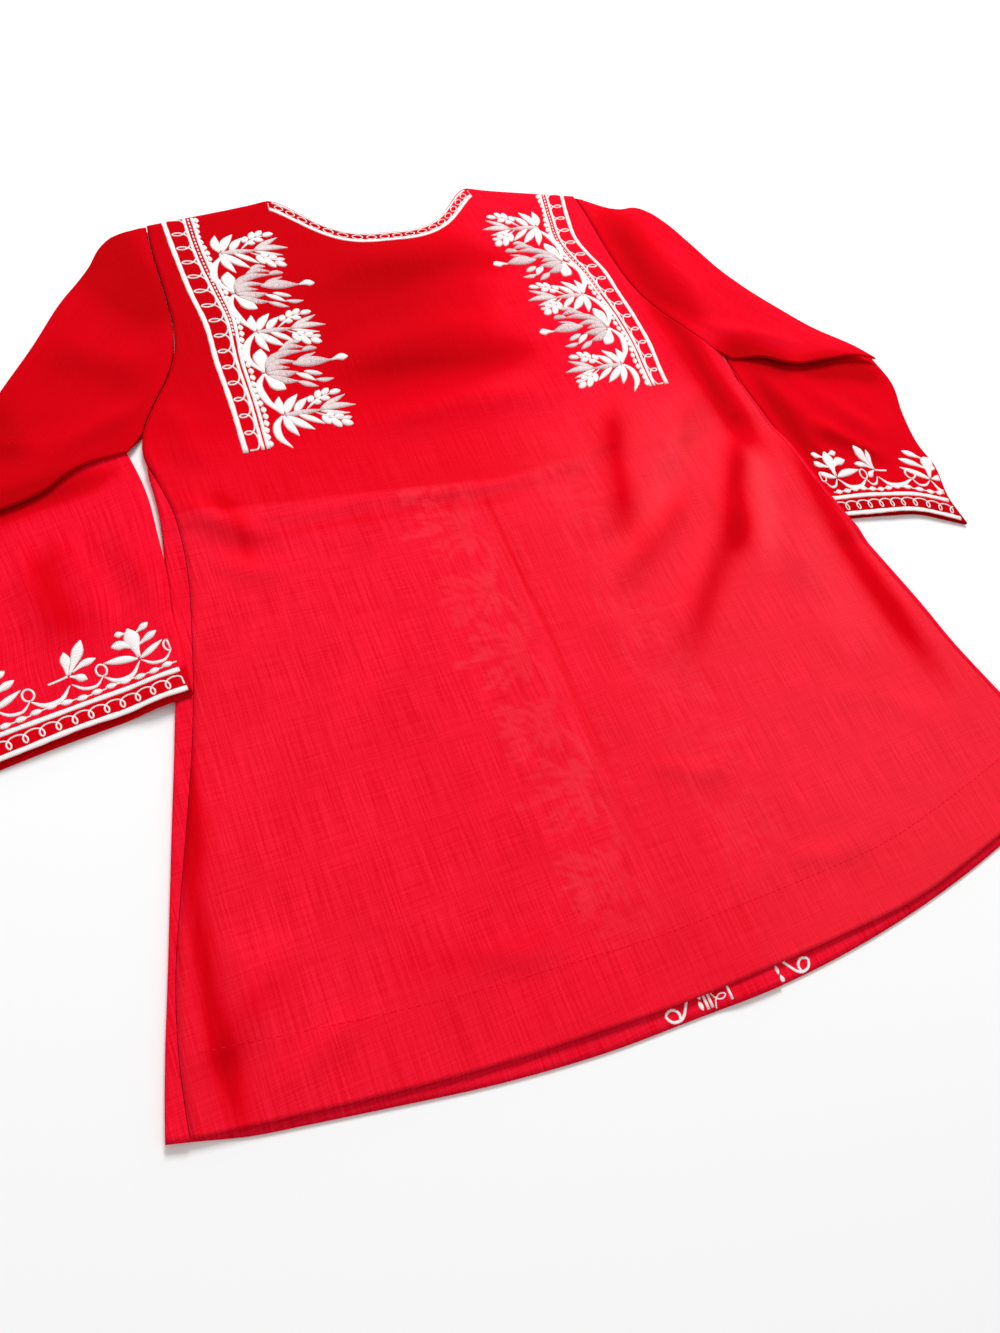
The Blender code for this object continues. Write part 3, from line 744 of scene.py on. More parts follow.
# The sleeves: each is one tube that lies flat, folded back on itself at the elbow in a long pleat.
# The upper part lies on the lower part there, and the lower part ends in an open cuff.
# Each edge is a row of plan points, x and y; the hidden ones are the folds inside the pleats
SHOULDER_EDGES = {
    "left": ((-188.5, 316), (-197, 314.3), (-206, 313), (-214, 310), (-223, 301.5), (-235.5, 280.5),
             (-246.5, 265), (-256.5, 252), (-284.5, 208), (-311, 171), (-341, 133), (-366, 99),
             (-382, 76)),
    "right": ((189, 314.5), (204, 307), (228, 298.5), (245, 299), (256, 291.5), (264.5, 279),
              (277.5, 247), (289.5, 213.5), (304, 185), (322, 158), (347.5, 126), (368, 102), (382, 87)),
}
PLEAT_EDGES = {
    "left": ((-382, 76), (-360, 79), (-330, 83), (-292, 95), (-279, 104), (-268, 109), (-255, 112),
             (-242, 114)),
    "right": ((382, 87), (371, 91), (357, 94), (323, 94), (299, 95), (286, 99), (271, 107), (243, 113)),
}
ELBOW_EDGES = {
    "left": ((-384, 80), (-387, 52), (-379, 18), (-373, -12), (-374, -34), (-369, -79)),
    "right": ((384, 90), (387, 61), (376, 27), (370, -7), (372, -27), (364, -62), (365, -87)),
}
FOREARM_EDGES = {
    "left": ((-248, 134), (-243, 112), (-239, 81), (-240, 47), (-242, 12), (-245, -9), (-246, -39),
             (-247, -63.5)),
    "right": ((242, 134), (240.3, 112), (240.6, 88), (243.4, 60), (246.5, 12), (249, -20), (250, -55)),
}
CUFFS = {
    "left": ((-369, -79), (-323, -72), (-280, -67), (-247, -63.5)),
    "right": ((365, -87), (348, -78), (330, -69), (297, -62), (250, -55)),
}
HIDDEN_EDGES = {
    "left": ((-384, 80), (-320, 106), (-248, 134)),
    "right": ((384, 90), (320, 112), (242, 134)),
}
SLEEVE_FOLDS = (
    (-200, 262, -330, 112, 1, 12),
    (-208, 206, -284, 132, 1.2, 13),
    (206, 250, 300, 120, 1.2, 13),
    (222, 168, 288, 114, 1.2, 12),
    (262, 104, 300, -20, 1.1, 11),
    (300, 92, 344, -30, 1.2, 12),
    (-300, 84, -284, -30, 1, 14),
    (-352, 70, -346, -40, 1.1, 13),
)
SLEEVE_CREASES = (
    (-268, 216, -214, 178, 1.8, 15),
    (-226, 152, -292, 112, 2.2, 8),
    (-232, 272, -318, 150, 2.8, 14),
    (-330, 146, -292, 122, 2, 9),
    (232, 262, 252, 150, 3.8, 13),
    (268, 216, 330, 118, 2.8, 12),
    (238, 150, 316, 112, 2.4, 8),
    (214, 190, 236, 140, -1.6, 8),
    (-262, 96, -256, 0, 2.4, 9),
    (-326, 78, -300, -20, 2.8, 11),
    (-296, 60, -280, -10, 2, 9),
    (263, 110, 278, 26, 3.4, 8),
    (277, 36, 326, -12, 3, 8),
    (290, 88, 340, 4, 3, 10),
    (350, 84, 348, -10, 2.2, 10),
)
# Beside the armholes and under the pleats the red is painted deeper as shade, where seam and pleat
# also add layers; along some folds of the lower stretches it is painted deeper as shade alone.
SLEEVE_LAYERS_AND_SHADE = (
    (-224, 324, -194, 216, 0.8, 22),
    (-284, 200, -214, 166, 0.2, 16),
    (-340, 178, -300, 118, 0.5, 16),
    (202, 300, 222, 150, 0.7, 20),
    (232, 126, 300, 92, 0.9, 12),
    (300, 94, 384, 70, 1, 11),
    (-384, 64, -246, 106, 0.8, 9),
    (253, 100, 272, -44, 0.7, 9),
    (274, 30, 326, -18, 0.5, 7),
    (-306, 60, -300, -20, 0.35, 12),
    (-370, 60, -362, -40, 0.4, 12),
)
# A painted shade over each stretch of sleeve as a whole, deepest on the upper left one
SLEEVE_DEPTH_AND_SHADE = {"left_upper": 0.6, "left_lower": 0.06, "right_upper": 0.22, "right_lower": 0.4}
# How far the pleat's lip and the upper side of the open cuff stand up, and how far that side juts
LIP_RISE = {"left": 1.2, "right": 3.0}
MOUTH_RISE = {"left": 2.2, "right": 1.2}
MOUTH_REACH = {"left": 2.4, "right": 0.4}
CUFF_HEM = 16.0
CUFF_HEM_DEEPER = 0.5
# Width of the flattened tube and length along it, for each stretch
UPPER_CUT = (190.0, 230.0)
LOWER_CUT = (130.0, 190.0)
ARMHOLE_FOOT_Y = 127.0
EDGE_TURNS = (90.0, 72.0, 54.0, 36.0, 18.0)
SLEEVE_COLUMNS = 56
SLEEVE_ROWS = 60


def distance_along(x, y):
    """Distance from the first point of a line to each of its points."""
    return np.concatenate([[0.0], np.cumsum(np.hypot(np.diff(x), np.diff(y)))])


def outline(rows):
    """A smooth line through plan points, as a function of the share of its length."""
    points = np.array(rows)
    length = distance_along(*points.T)
    share = length / length[-1]
    line_x = smooth_line(share, points[:, 0])
    line_y = smooth_line(share, points[:, 1])
    return lambda at: np.array([line_x(at), line_y(at)])


def four_sided(start, end, near, far):
    """A plan patch between four edges; each edge is a function of a share from 0 to 1."""
    def corner(edge, at):
        return edge(at)[:, None, None]

    def patch(u, v):
        ruled = (1 - v) * start(u) + v * end(u) + (1 - u) * near(v) + u * far(v)
        corners = (1 - u) * (1 - v) * corner(start, 0.0) + u * (1 - v) * corner(start, 1.0)
        corners = corners + (1 - u) * v * corner(end, 0.0) + u * v * corner(end, 1.0)
        return ruled - corners
    return patch


def unit(vectors):
    """The same directions with a length of 1."""
    return vectors / np.maximum(np.hypot(vectors[0], vectors[1]), 1e-9)


def hand_of(part):
    return part.split("_")[0]


def sleeve_tube(part, patch, levels, closed_end, size):
    """A flattened tube: a ring of points round each cross-section, with rounded long edges."""
    width, length = size
    down = spaced(SLEEVE_ROWS)
    top = [(0.0, turn, 1.0) for turn in EDGE_TURNS] + [(u, 0.0, 1.0) for u in spaced(SLEEVE_COLUMNS)]
    top += [(1.0, turn, 1.0) for turn in EDGE_TURNS[::-1]]
    ring = top + [(u, turn, -1.0) for u, turn, _ in top[::-1][1:]]
    u, turn_u, face = [np.array(values)[None, :] for values in zip(*ring)]
    end = 1.0 if closed_end == "far" else 0.0
    ordered = down[::-1] if closed_end == "far" else down
    rows = [(end, turn) for turn in EDGE_TURNS] + [(v, 0.0) for v in ordered]
    v, turn_v = [np.array(values)[:, None] for values in zip(*rows)]
    u, turn_u, face, v, turn_v = np.broadcast_arrays(u, turn_u, face, v, turn_v)
    radius = SLEEVE_HEIGHT / 2 - (WALL - CLOTH) / 2
    point = patch(u, v)
    step = 0.02
    sideways = unit(np.where(u < 0.5, point - patch(u + step, v), point - patch(u - step, v)))
    endways = unit(np.where(v < 0.5, point - patch(u, v + step), point - patch(u, v - step)))
    low, high = levels(point[0], point[1], v)
    spread = radius * np.sin(np.radians(turn_u)) * sideways + radius * np.sin(np.radians(turn_v)) * endways
    rise = (high - low) / 2 * np.cos(np.radians(turn_u)) * np.cos(np.radians(turn_v))
    place = point + spread
    # The red's depth here is painted shade, with the layers of seam and pleat
    depth = SLEEVE_DEPTH_AND_SHADE[part] + fold_height(SLEEVE_LAYERS_AND_SHADE, point[0], point[1])
    if closed_end == "near":
        hand = hand_of(part)
        place = place + MOUTH_REACH[hand] * ramp(0.95, 1.0, v) * (face < 0.0) * endways
        up = above_cuff(hand, *point)
        depth = depth + CUFF_HEM_DEEPER * (1.0 - ramp(CUFF_HEM - 2.0, CUFF_HEM + 2.0, up))
    sleeve = cloth_piece("sleeve_cloth_" + part, place[0], place[1], (low + high) / 2 + face * rise, depth,
                         (u * width, v * length), -1.0)
    middle_of_top = (len(rows) // 2) * (len(ring) - 1) + len(ring) // 4
    if sleeve.data.polygons[middle_of_top].normal.z < 0.0:
        sleeve.data.flip_normals()
    return sleeve


def upper_sleeve(hand):
    """From the armhole to the pleat; near the pleat it lies on the lower stretch."""
    sign = SIGN[hand]
    outer_rows = SHOULDER_EDGES[hand]
    pleat = PLEAT_EDGES[hand]
    hidden = np.array(HIDDEN_EDGES[hand])
    head = outer_rows[0][1]

    def armhole(share):
        y = between(head, ARMHOLE_FOOT_Y, share)
        slope = (side(hand, y + 2.0) - side(hand, y - 2.0)) / 4.0
        return np.array([side(hand, y) + sign * (SEAM_GAP + 0.35) * np.hypot(1.0, slope), y + 0.0 * share])

    def as_points(pair, share):
        return pair.reshape((2,) + (1,) * np.ndim(share))

    shift = np.array(outer_rows[0]) - armhole(np.array(0.0))
    outer_line = outline(outer_rows)
    inner = np.array(pleat[-1])
    foot = armhole(np.array(1.0))
    patch = four_sided(armhole, outline(pleat),
                       lambda share: outer_line(share) - as_points(shift, share) * (1.0 - share),
                       lambda share: as_points(foot, share) + as_points(inner - foot, share) * share)
    hidden_line = smooth_line(hidden[:, 0] * sign, hidden[:, 1])

    def levels(x, y, v):
        hidden_y = hidden_line(x * sign)
        from_body = (x - side(hand, y)) * sign
        lift = 1.0 - ramp(hidden_y + 4.0, hidden_y + 30.0, y)
        lift = (SLEEVE_HEIGHT + SEAM_GAP) * lift * ramp(1.0, 9.0, from_body)
        lip = LIP_RISE[hand] * ramp(0.6, 0.97, v) * ramp(12.0, 50.0, from_body)
        lift = lift + lip * (1.0 - ramp(130.0, 172.0, from_body))
        seam = plain_back_level(side(hand, y), y) + WALL / 2
        creases = fold_height(SLEEVE_CREASES, x, y) * ramp(0.0, 18.0, from_body)
        high = lift + SLEEVE_HEIGHT + np.maximum(fold_height(SLEEVE_FOLDS, x, y), 0.0)
        high = between(high, seam, 1.0 - ramp(0.0, 30.0, from_body))
        high = high - ARMHOLE_GROOVE * np.exp(-(from_body / 3.0) ** 2)
        return lift, np.maximum(high + creases, lift + 1.6)

    sleeve = sleeve_tube(hand + "_upper", patch, levels, "far", UPPER_CUT)
    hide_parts("sleeve_" + hand + "_upper")
    return sleeve


def above_cuff(hand, x, y):
    """Distance up the sleeve from the edge of its cuff."""
    cuff = np.array(CUFFS[hand])
    order = np.argsort(cuff[:, 0])
    return y - np.interp(x, cuff[order, 0], cuff[order, 1])


def mouth_rise(hand, x, y):
    """How far the upper side of an open cuff arches off the lower side."""
    cuff = np.array(CUFFS[hand])
    up = above_cuff(hand, x, y)
    share = np.clip((x - cuff[:, 0].min()) / np.ptp(cuff[:, 0]), 0.0, 1.0)
    return MOUTH_RISE[hand] * np.sin(np.pi * share) * (1.0 - ramp(0.0, 26.0, up))


def lower_sleeve_levels(hand, x, y, v):
    """Lower and upper side of the lower stretch; the left one lies on the body's folded edge."""
    lift = 0.0 * x
    if hand == "left":
        fold = side("left", y) - side("left_reach", y)
        over_body = plain_back_level(side("left", y), y) + WALL / 2 + SEAM_GAP + 0.2
        lift = over_body * ramp(fold - 30.0, fold - 4.0, x) * (1.0 - ramp(22.0, 84.0, y))
    creases = fold_height(SLEEVE_CREASES, x, y)
    puff = np.maximum(fold_height(SLEEVE_FOLDS, x, y) + creases, -0.8) * ramp(0.16, 0.5, v)
    return lift, lift + SLEEVE_HEIGHT + puff + mouth_rise(hand, x, y)


def lower_sleeve(hand):
    """From under the pleat to the open cuff."""
    patch = four_sided(*[outline(edges[hand]) for edges in (HIDDEN_EDGES, CUFFS, ELBOW_EDGES, FOREARM_EDGES)])
    sleeve = sleeve_tube(hand + "_lower", patch,
                         lambda x, y, v: lower_sleeve_levels(hand, x, y, v), "near", LOWER_CUT)
    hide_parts("sleeve_" + hand + "_lower")
    return sleeve


for hand in SIGN:
    upper_sleeve(hand)
    lower_sleeve(hand)


# The white embroidery: satin stitch in soft white floss, with petals that shade to dusty pink.
# Each leaf, bead and line is a low padded ridge of threads laid side by side across it.
FLOSS_WHITE = "FFFAF8"
FLOSS_SHADED = "A67078"
FLOSS_HOLLOW = "E9B9B6"
# The real floss is 0.4 mm thick, too fine to show here, so its threads are drawn coarser
FLOSS_PITCH = 0.9
FLOSS_SINK = 0.25
# How wide each kind of form is along its length, and a ridge in section, across and up
PROFILES = {
    "leaf": (0.14, 0.58, 0.92, 1, 0.96, 0.76, 0.42, 0.10),
    "club": (0.24, 0.30, 0.42, 0.62, 0.86, 1, 0.94, 0.60, 0.12),
    "round": (0.15, 0.74, 0.97, 1, 0.97, 0.74, 0.15),
    "arc": (0.22, 0.62, 0.88, 1, 0.96, 0.78, 0.46, 0.14),
    "bead": (0.16, 0.8, 1, 0.8, 0.16),
    "line": (1, 1),
}
RIDGE = ((-1, 0), (-0.72, 0.70), (0, 1), (0.72, 0.70), (1, 0), (0.5, -1), (-0.5, -1))


def floss(name):
    """Stranded cotton floss: soft, a little lustrous, with a fine ridge for every thread."""
    material, shader = new_material(name)
    threads = thread_places(material)
    strands = bands(material, threads, "Y", FLOSS_PITCH, 1.2, 1.5, 1.5)
    grain = noise(material, threads, (0.5, 1.6, 1.0), 2.0)
    tone, _ = painted_depth_and_light(material)
    uneven = maths(material, "MULTIPLY_ADD", grain, 2.4, -0.5)
    amount = maths(material, "MULTIPLY", tone, uneven, clamp=True)
    colour = blend(material, amount, linear(FLOSS_WHITE), linear(FLOSS_SHADED))
    hollow = ranged(material, strands, 0.0, 0.5, 0.35, 0.0)
    feed(shader, {"Base Color": blend(material, hollow, colour, linear(FLOSS_HOLLOW)),
                  "Normal": thread_bump(material, strands, 0.5),
                  "Roughness": 0.55, "Specular IOR Level": 0.35, "Sheen Weight": 0.15})
    return material


white_floss = floss("white_cotton_floss")


def along_line(points, count):
    """Evenly spaced places along a smooth line through a few points."""
    points = np.asarray(points, dtype=float)
    length = distance_along(*points.T)
    at = np.linspace(0.0, length[-1], count)
    return np.stack([smooth_line(length, points[:, axis])(at) for axis in (0, 1)], axis=1)


def stitched(kind, points, half, tone=0.0, count=None):
    """One satin-stitched form: its middle line, half its width along it, and how shaded it is."""
    if count is None:
        count = {"bead": 5, "round": 7}.get(kind, 9)
    path = along_line(points, count)
    profile = PROFILES[kind]
    width = half * np.interp(spaced(count), spaced(len(profile)), profile)
    shades = tone * (0.55 + 0.45 * spaced(count))
    return path, width, shades


STITCH_STEP = 4.0


def satin_line(points, half, tone=0.0):
    """A long even satin line, a little uneven in width as hand-guided stitching is."""
    length = distance_along(*np.asarray(points, dtype=float).T)[-1]
    count = max(int(length / STITCH_STEP), 4)
    path = along_line(points, count)
    wave = 1.0 + 0.07 * np.sin(np.arange(count) * 2.1) + 0.05 * np.sin(np.arange(count) * 0.7)
    return path, half * wave, np.full(count, tone)


def looped_thread(start, end, near, far, pitch, eyelet=4.6, half=0.62):
    """A thin thread that makes an eyelet by one line and swings over to the next, again and again.

    It runs along Y from start to end; near and far are X of its two sides as functions of Y.
    """
    turns = max(round((end - start) / pitch), 1)
    angle = np.linspace(0.0, turns * 2.0 * np.pi, turns * 18 + 1)
    middle = between(start, end, angle / angle[-1])
    swing = (1.0 - np.cos(angle)) / 2.0
    along = np.clip(middle - eyelet * np.sin(angle), start, end)
    x = between(near(along), far(along), swing ** 0.8)
    return np.stack([x, along], axis=1), np.full(len(angle), half), np.full(len(angle), 0.12)


def moved(shapes, x, y, stretch_x=1.0, stretch_y=1.0):
    """The same forms at another place, stretched along and across if asked."""
    grow = min(np.sqrt(abs(stretch_x * stretch_y)), 1.15)
    return [(path * (stretch_x, stretch_y) + (x, y), width * grow, tone) for path, width, tone in shapes]


# A ridge is higher the wider it is, up to a width
PADDING = 0.22
WIDEST_PADDED = 2.4


def stitched_piece(name, shapes, lay, top, sink=FLOSS_SINK, rise=1.0, material=white_floss):
    """All the forms of one motif band as one mesh of low ridges on the cloth.

    lay turns a form's own places into plan places, top gives the cloth's upper side there, and
    sink is how far the stitches reach down into or through the cloth.
    """
    ring = np.array(RIDGE)
    sides = len(ring)
    places, faces, runs, tones = [], [], [], []
    base = 0
    for path, width, tone in shapes:
        count = len(path)
        ahead = np.gradient(path, axis=0)
        ahead = ahead / np.maximum(np.hypot(ahead[:, 0], ahead[:, 1]), 1e-6)[:, None]
        across = np.stack([-ahead[:, 1], ahead[:, 0]], axis=1)
        flat = path[:, None, :] + across[:, None, :] * (width[:, None] * ring[None, :, 0])[:, :, None]
        x, y = lay(flat[..., 0], flat[..., 1])
        height = PADDING * (1.0 + np.minimum(width, WIDEST_PADDED)) * rise
        up = np.where(ring[None, :, 1] >= 0.0, ring[None, :, 1] * height[:, None], -sink)
        z = top(x, y) + up
        places.append(np.stack([x - MIDDLE[0], y - MIDDLE[1], z], axis=-1).reshape(-1, 3) * MM)
        run_across = width[:, None] * ring[None, :, 0]
        run_along = np.broadcast_to(distance_along(*path.T)[:, None], run_across.shape)
        runs.append(np.stack([run_across, run_along], axis=-1).reshape(-1, 2))
        edge = np.where(np.abs(ring[None, :, 0]) > 0.9, 0.1, 1.0)
        tones.append((tone[:, None] * edge).reshape(-1))
        k = np.arange(count - 1)[:, None] * sides + base
        s = np.arange(sides)[None, :]
        quads = np.stack([k + s, k + (s + 1) % sides, k + sides + (s + 1) % sides, k + sides + s], axis=-1)
        faces.extend(quads.reshape(-1, 4).tolist())
        faces.append(list(range(base, base + sides))[::-1])
        faces.append(list(range(base + (count - 1) * sides, base + count * sides)))
        base += count * sides
    mesh = bpy.data.meshes.new(name)
    mesh.from_pydata(np.concatenate(places).tolist(), [], faces)
    tidy = bmesh.new()
    tidy.from_mesh(mesh)
    bmesh.ops.recalc_face_normals(tidy, faces=tidy.faces)
    tidy.to_mesh(mesh)
    tidy.free()
    return new_piece(name, mesh, material, np.concatenate(runs), np.concatenate(tones))


# The shoulder strips: one on each side of the back, from the shoulder seam down. From the armhole
# inwards: a satin line, a looped thread, a double line, a row of beads, and a scalloped stem that
# carries leafy sprays and shaded flowers by turns.
STRIP_OUTER_X = 169.8
STRIP_COLUMNS = ("y", "away")
STRIP_LINES = {
    "left": ((90, 170), (137, 168.4), (175, 167.9), (215, 165.6), (246, 168.6), (279, 169.8),
             (320, 169.4)),
    "right": ((90, 166.8), (110, 169), (140, 173.6), (170, 174.2), (200, 172.2), (228, 170.6),
              (246, 165.4), (262, 162.4), (290, 166), (322, 173.6)),
}
STRIP_BOTTOM_Y = 96.5
NODE_SPACING = 38.9
FIRST_SPRAY_Y = 123.6
SPRAY_X = 32.1
SPRAY_TOP_LIFT = 4.0
FLOWER_X = 29.1
OUTER_LINE_HALF = 1.9
# Side and half width of each line of the double line
DOUBLE_LINE = ((-1.0, 1.2), (1.0, 1.3))
LINE_TONE = 0.05
SMALL_BEADS_FROM_Y = 200.0
SMALL_BEAD_STEP = 3.6
LOOPS_FROM_X = 2.8
LOOP_PITCH = 15.0
BEADS_BEYOND = 4.7
BEAD_SWAY = 1.12
BEAD_STEP = 5.9
BEAD_HALF = 2.15
LEAST_ROOM = 45.0
STEM_HALF = 3.0
STEM_POINTS = 12
# Each row: the kind of form, its middle line from the node outwards, half its width, its tone
SPRAY = (
    ("leaf", ((0, 0), (-1, 8), (1, 16)), 2.9, 0),
    ("leaf", ((2, 0), (6, 8), (14, 16)), 2.8, 0),
    ("leaf", ((8, 0), (14, 7), (20, 12)), 2.5, 0.05),
    ("leaf", ((0, -0.5), (12, -0.5), (28, -0.5)), 2, 0.75),
    ("leaf", ((26, 0), (36, 5), (47, 10)), 1.9, 0.55),
    ("leaf", ((27, -0.5), (40, 1), (52, -0.5)), 2.3, 0.6),
    ("leaf", ((26, -1.5), (36, -5), (46, -7)), 1.7, 0.3),
    ("leaf", ((16, 1), (27, 9), (38, 13)), 0.9, 0.2),
    ("round", ((20, 7.5), (22, 10), (24, 13)), 2.1, 0),
    ("round", ((26, 10), (28, 13), (30, 17)), 2.1, 0),
    ("round", ((31, 12), (34, 15), (37, 17.5)), 2, 0.1),
    ("round", ((36.5, 12), (40, 13.5), (45, 14)), 2, 0.1),
    ("round", ((23, 6), (25.5, 6.5), (29, 6.5)), 1.8, 0.2),
    ("round", ((29, 8.5), (32, 9), (36, 8.5)), 1.9, 0.1),
    ("leaf", ((22, -2), (34, -9), (44, -13)), 0.9, 0.2),
    ("round", ((26, -6), (28, -10), (30, -14)), 2.2, 0),
    ("round", ((31, -9), (34, -13.5), (37, -18)), 2.3, 0),
    ("round", ((38, -12.5), (41, -15), (45.5, -17)), 2.3, 0.15),
    ("round", ((29, -5.5), (32, -6), (35, -6)), 1.7, 0),
    ("round", ((34, -8.5), (37, -8.5), (41, -8.5)), 1.8, 0.1),
    ("round", ((39, -11), (42, -11), (46, -11)), 1.6, 0.3),
    ("leaf", ((0, -1), (2, -11), (6, -20)), 2.7, 0),
    ("leaf", ((2, -1.5), (9, -9), (18, -16.5)), 2.8, 0),
    ("leaf", ((10, -2), (18, -7), (26, -13)), 2.1, 0.05),
)
FLOWER = (
    ("club", ((0, 0), (0.5, 11), (3, 22)), 4.4, 0),
    ("club", ((0, -1), (4, -10), (11, -17)), 4.2, 0),
    ("leaf", ((2, 3), (9, 12), (21, 16), (33, 15.5)), 2.7, 0.8),
    ("leaf", ((15, 18), (24, 21.5), (34, 19)), 2.1, 0.8),
    ("round", ((32, 16), (37, 17.5), (43, 16.5)), 1.9, 0.7),
    ("round", ((20, 22.5), (26, 25.5), (32, 24.5)), 1.6, 0.5),
    ("leaf", ((2, 1.5), (12, 8), (26, 6.5)), 2.2, 0.6),
    ("leaf", ((22, 5), (37, 5), (50, 3)), 3.9, 0.95),
    ("line", ((47, 3.2), (52, 3.2)), 0.6, 0.4),
    ("club", ((50, 3), (56, 4), (62.5, 3.2)), 2.8, 0.05),
    ("leaf", ((24, 5.5), (31, 9), (41, 12.5)), 1.7, 0.6),
    ("leaf", ((2, 0.5), (11, 3.2), (19, 2)), 2, 0.7),
    ("leaf", ((2, -0.5), (13, -3), (24, -3)), 2.9, 0.95),
    ("leaf", ((3, -3), (12, -9), (22, -11.5)), 2.6, 0.8),
    ("leaf", ((22, -4), (29, -8.5), (34, -13)), 2.1, 0),
    ("round", ((28, -3), (34, -5.5), (40, -8)), 1.8, 0.3),
    ("leaf", ((34, -12), (40, -13.5), (47, -13.5)), 1.7, 0.5),
    ("leaf", ((21, -11.5), (28, -15.5), (34, -18.5)), 2, 0.5),
)
STEM_TO_SPRAY = ((-0.5, -1), (-6.5, -11), (-5, -24), (3, -38.5))
STEM_TO_FLOWER = ((-0.5, -1), (-7, -9), (-11, -23), (-3, -38.5))
STEM_END = ((-1, -1), (-6.5, -8), (-7.5, -18), (-1, -29))
STEM_TOP = ((-4, 38), (-6, 24), (-5, 11), (-0.5, 1))


def motif(rows, fuller=1.0, deeper=1.0):
    """The stitched forms of a table, made fuller or more shaded if asked."""
    forms = []
    for kind, points, half, tone in rows:
        forms.append(stitched(kind, points, half * fuller, min(tone * deeper, 1.0)))
    return forms


spray_forms = motif(SPRAY, 1.24, 1.2)
flower_forms = motif(FLOWER, 1.22, 1.5)


def strip_inner_x(y):
    """The double line: it drifts a little away from the outer line towards the shoulder."""
    return 13.5 + 4.5 * ramp(100.0, 250.0, y) + 0.5 * np.sin(y / 17.0)


def strip_forms(bottom, tops, first_spray, spacing, inner, reach=1.0, open_top=True):
    """A whole band: lines, looped thread, beads, stem, sprays and flowers, from bottom to tops."""
    top = tops(15.0)
    ys = np.linspace(bottom, tops(0.0) - 1.5, 12)
    shapes = [satin_line(np.stack([0.3 * np.sin(ys / 19.0), ys], axis=1), OUTER_LINE_HALF, LINE_TONE)]
    # The two lines part a little towards the shoulder, with a thread of small beads between them
    ys = np.linspace(bottom + 0.5, top - 1.5, 24)
    parted = 1.4 + 1.3 * ramp(150.0, 290.0, ys) + 0.4 * ramp(-130.0, -96.0, ys)
    for sideways, half in DOUBLE_LINE:
        shapes.append(satin_line(np.stack([inner(ys) + sideways * parted, ys], axis=1), half, LINE_TONE))
    for y in np.arange(SMALL_BEADS_FROM_Y, top - 4.0, SMALL_BEAD_STEP):
        shapes.append(stitched("bead", [(inner(y), y + up) for up in (0.0, 1.3, 2.6)], 0.8))
    shapes.append(looped_thread(bottom + 1.5, top - 3.0, lambda y: LOOPS_FROM_X, lambda y: inner(y) - 3.0,
                                LOOP_PITCH))
    nodes = []
    y = first_spray
    while y < top - 24.0:
        nodes.append(("flower", FLOWER_X, y) if len(nodes) % 2 else ("spray", SPRAY_X, y))
        y += spacing
    grow = spacing / NODE_SPACING
    # Each node of the stem carries a spray or a flower; what would cross the seam is left out
    for index, (kind, x, y) in enumerate(nodes):
        if kind == "spray":
            lift = SPRAY_TOP_LIFT if open_top and index == len(nodes) - 1 else 0.0
            forms = moved(spray_forms, x, y + lift, reach, min(grow, 1.1) + 0.03 * lift)
        else:
            forms = moved(flower_forms, x, y, reach, min(grow, 1.1))
        shapes += [form for form in forms if form[0][:, 1].max() < tops(x + 20.0) - 1.0]
        if index == 0:
            arc = STEM_END
        else:
            arc = STEM_TO_FLOWER if kind == "spray" else STEM_TO_SPRAY
        stem = stitched("arc", arc, STEM_HALF, 0.0, STEM_POINTS)
        shapes += moved([stem], x, y, 1.0, grow if index else 1.0)
    # Above the last node the stem goes on to the seam if there is little room left
    _, x, y = nodes[-1]
    room = tops(x) - 1.5 - y
    if open_top and room < LEAST_ROOM:
        stem = stitched("arc", STEM_TOP, STEM_HALF, 0.0, STEM_POINTS)
        shapes += moved([stem], x, y, 1.0, room / STEM_TOP[0][1])
    # The row of beads sways with the stem
    y = bottom + 1.5
    while y < top - 3.5:
        phase = 2.0 * np.pi * (y - first_spray) / spacing
        x = inner(y) + BEADS_BEYOND + BEAD_SWAY * np.cos(phase)
        lean = 0.25 * np.sin(phase)
        shapes.append(stitched("bead", ((x - lean, y), (x, y + 2.75), (x + lean, y + 5.5)), BEAD_HALF))
        y += BEAD_STEP
    return shapes


def back_top(x, y):
    """Upper side of the back's cloth."""
    return back_level(x, y) + CLOTH / 2


for hand, sign in SIGN.items():
    forms = strip_forms(STRIP_BOTTOM_Y, lambda x: shoulder_y(STRIP_OUTER_X - x), FIRST_SPRAY_Y, NODE_SPACING,
                        strip_inner_x)
    line = table_lines(STRIP_LINES[hand], STRIP_COLUMNS)["away"]
    stitched_piece("shoulder_strip_" + hand, forms,
                   lambda x, y, sign=sign, line=line: (sign * (line(y) - x), y), back_top)


# The neck band: two satin lines round the neckline with a looped thread between them.
NECK_BAND = 9.6
NECK_LOOP_PITCH = 10.8
neck_run = np.linspace(-89.0, 89.0, 721)
neck_line_x = NECK_HALF_WIDTH * np.sin(np.radians(neck_run))
neck_line_y = neck_y(neck_line_x, BACK_NECK_Y)
neck_length = distance_along(neck_line_x, neck_line_y)
neck_ahead_x = np.gradient(neck_line_x, neck_length)
neck_ahead_y = np.gradient(neck_line_y, neck_length)


def on_neck(away, along):
    """Plan place at a distance from the neckline and along it."""
    ahead_x = np.interp(along, neck_length, neck_ahead_x)
    ahead_y = np.interp(along, neck_length, neck_ahead_y)
    x = np.interp(along, neck_length, neck_line_x) + ahead_y * away
    return x, np.interp(along, neck_length, neck_line_y) - ahead_x * away


def as_is(x, y):
    """Forms that are drawn in their plan places already."""
    return x, y


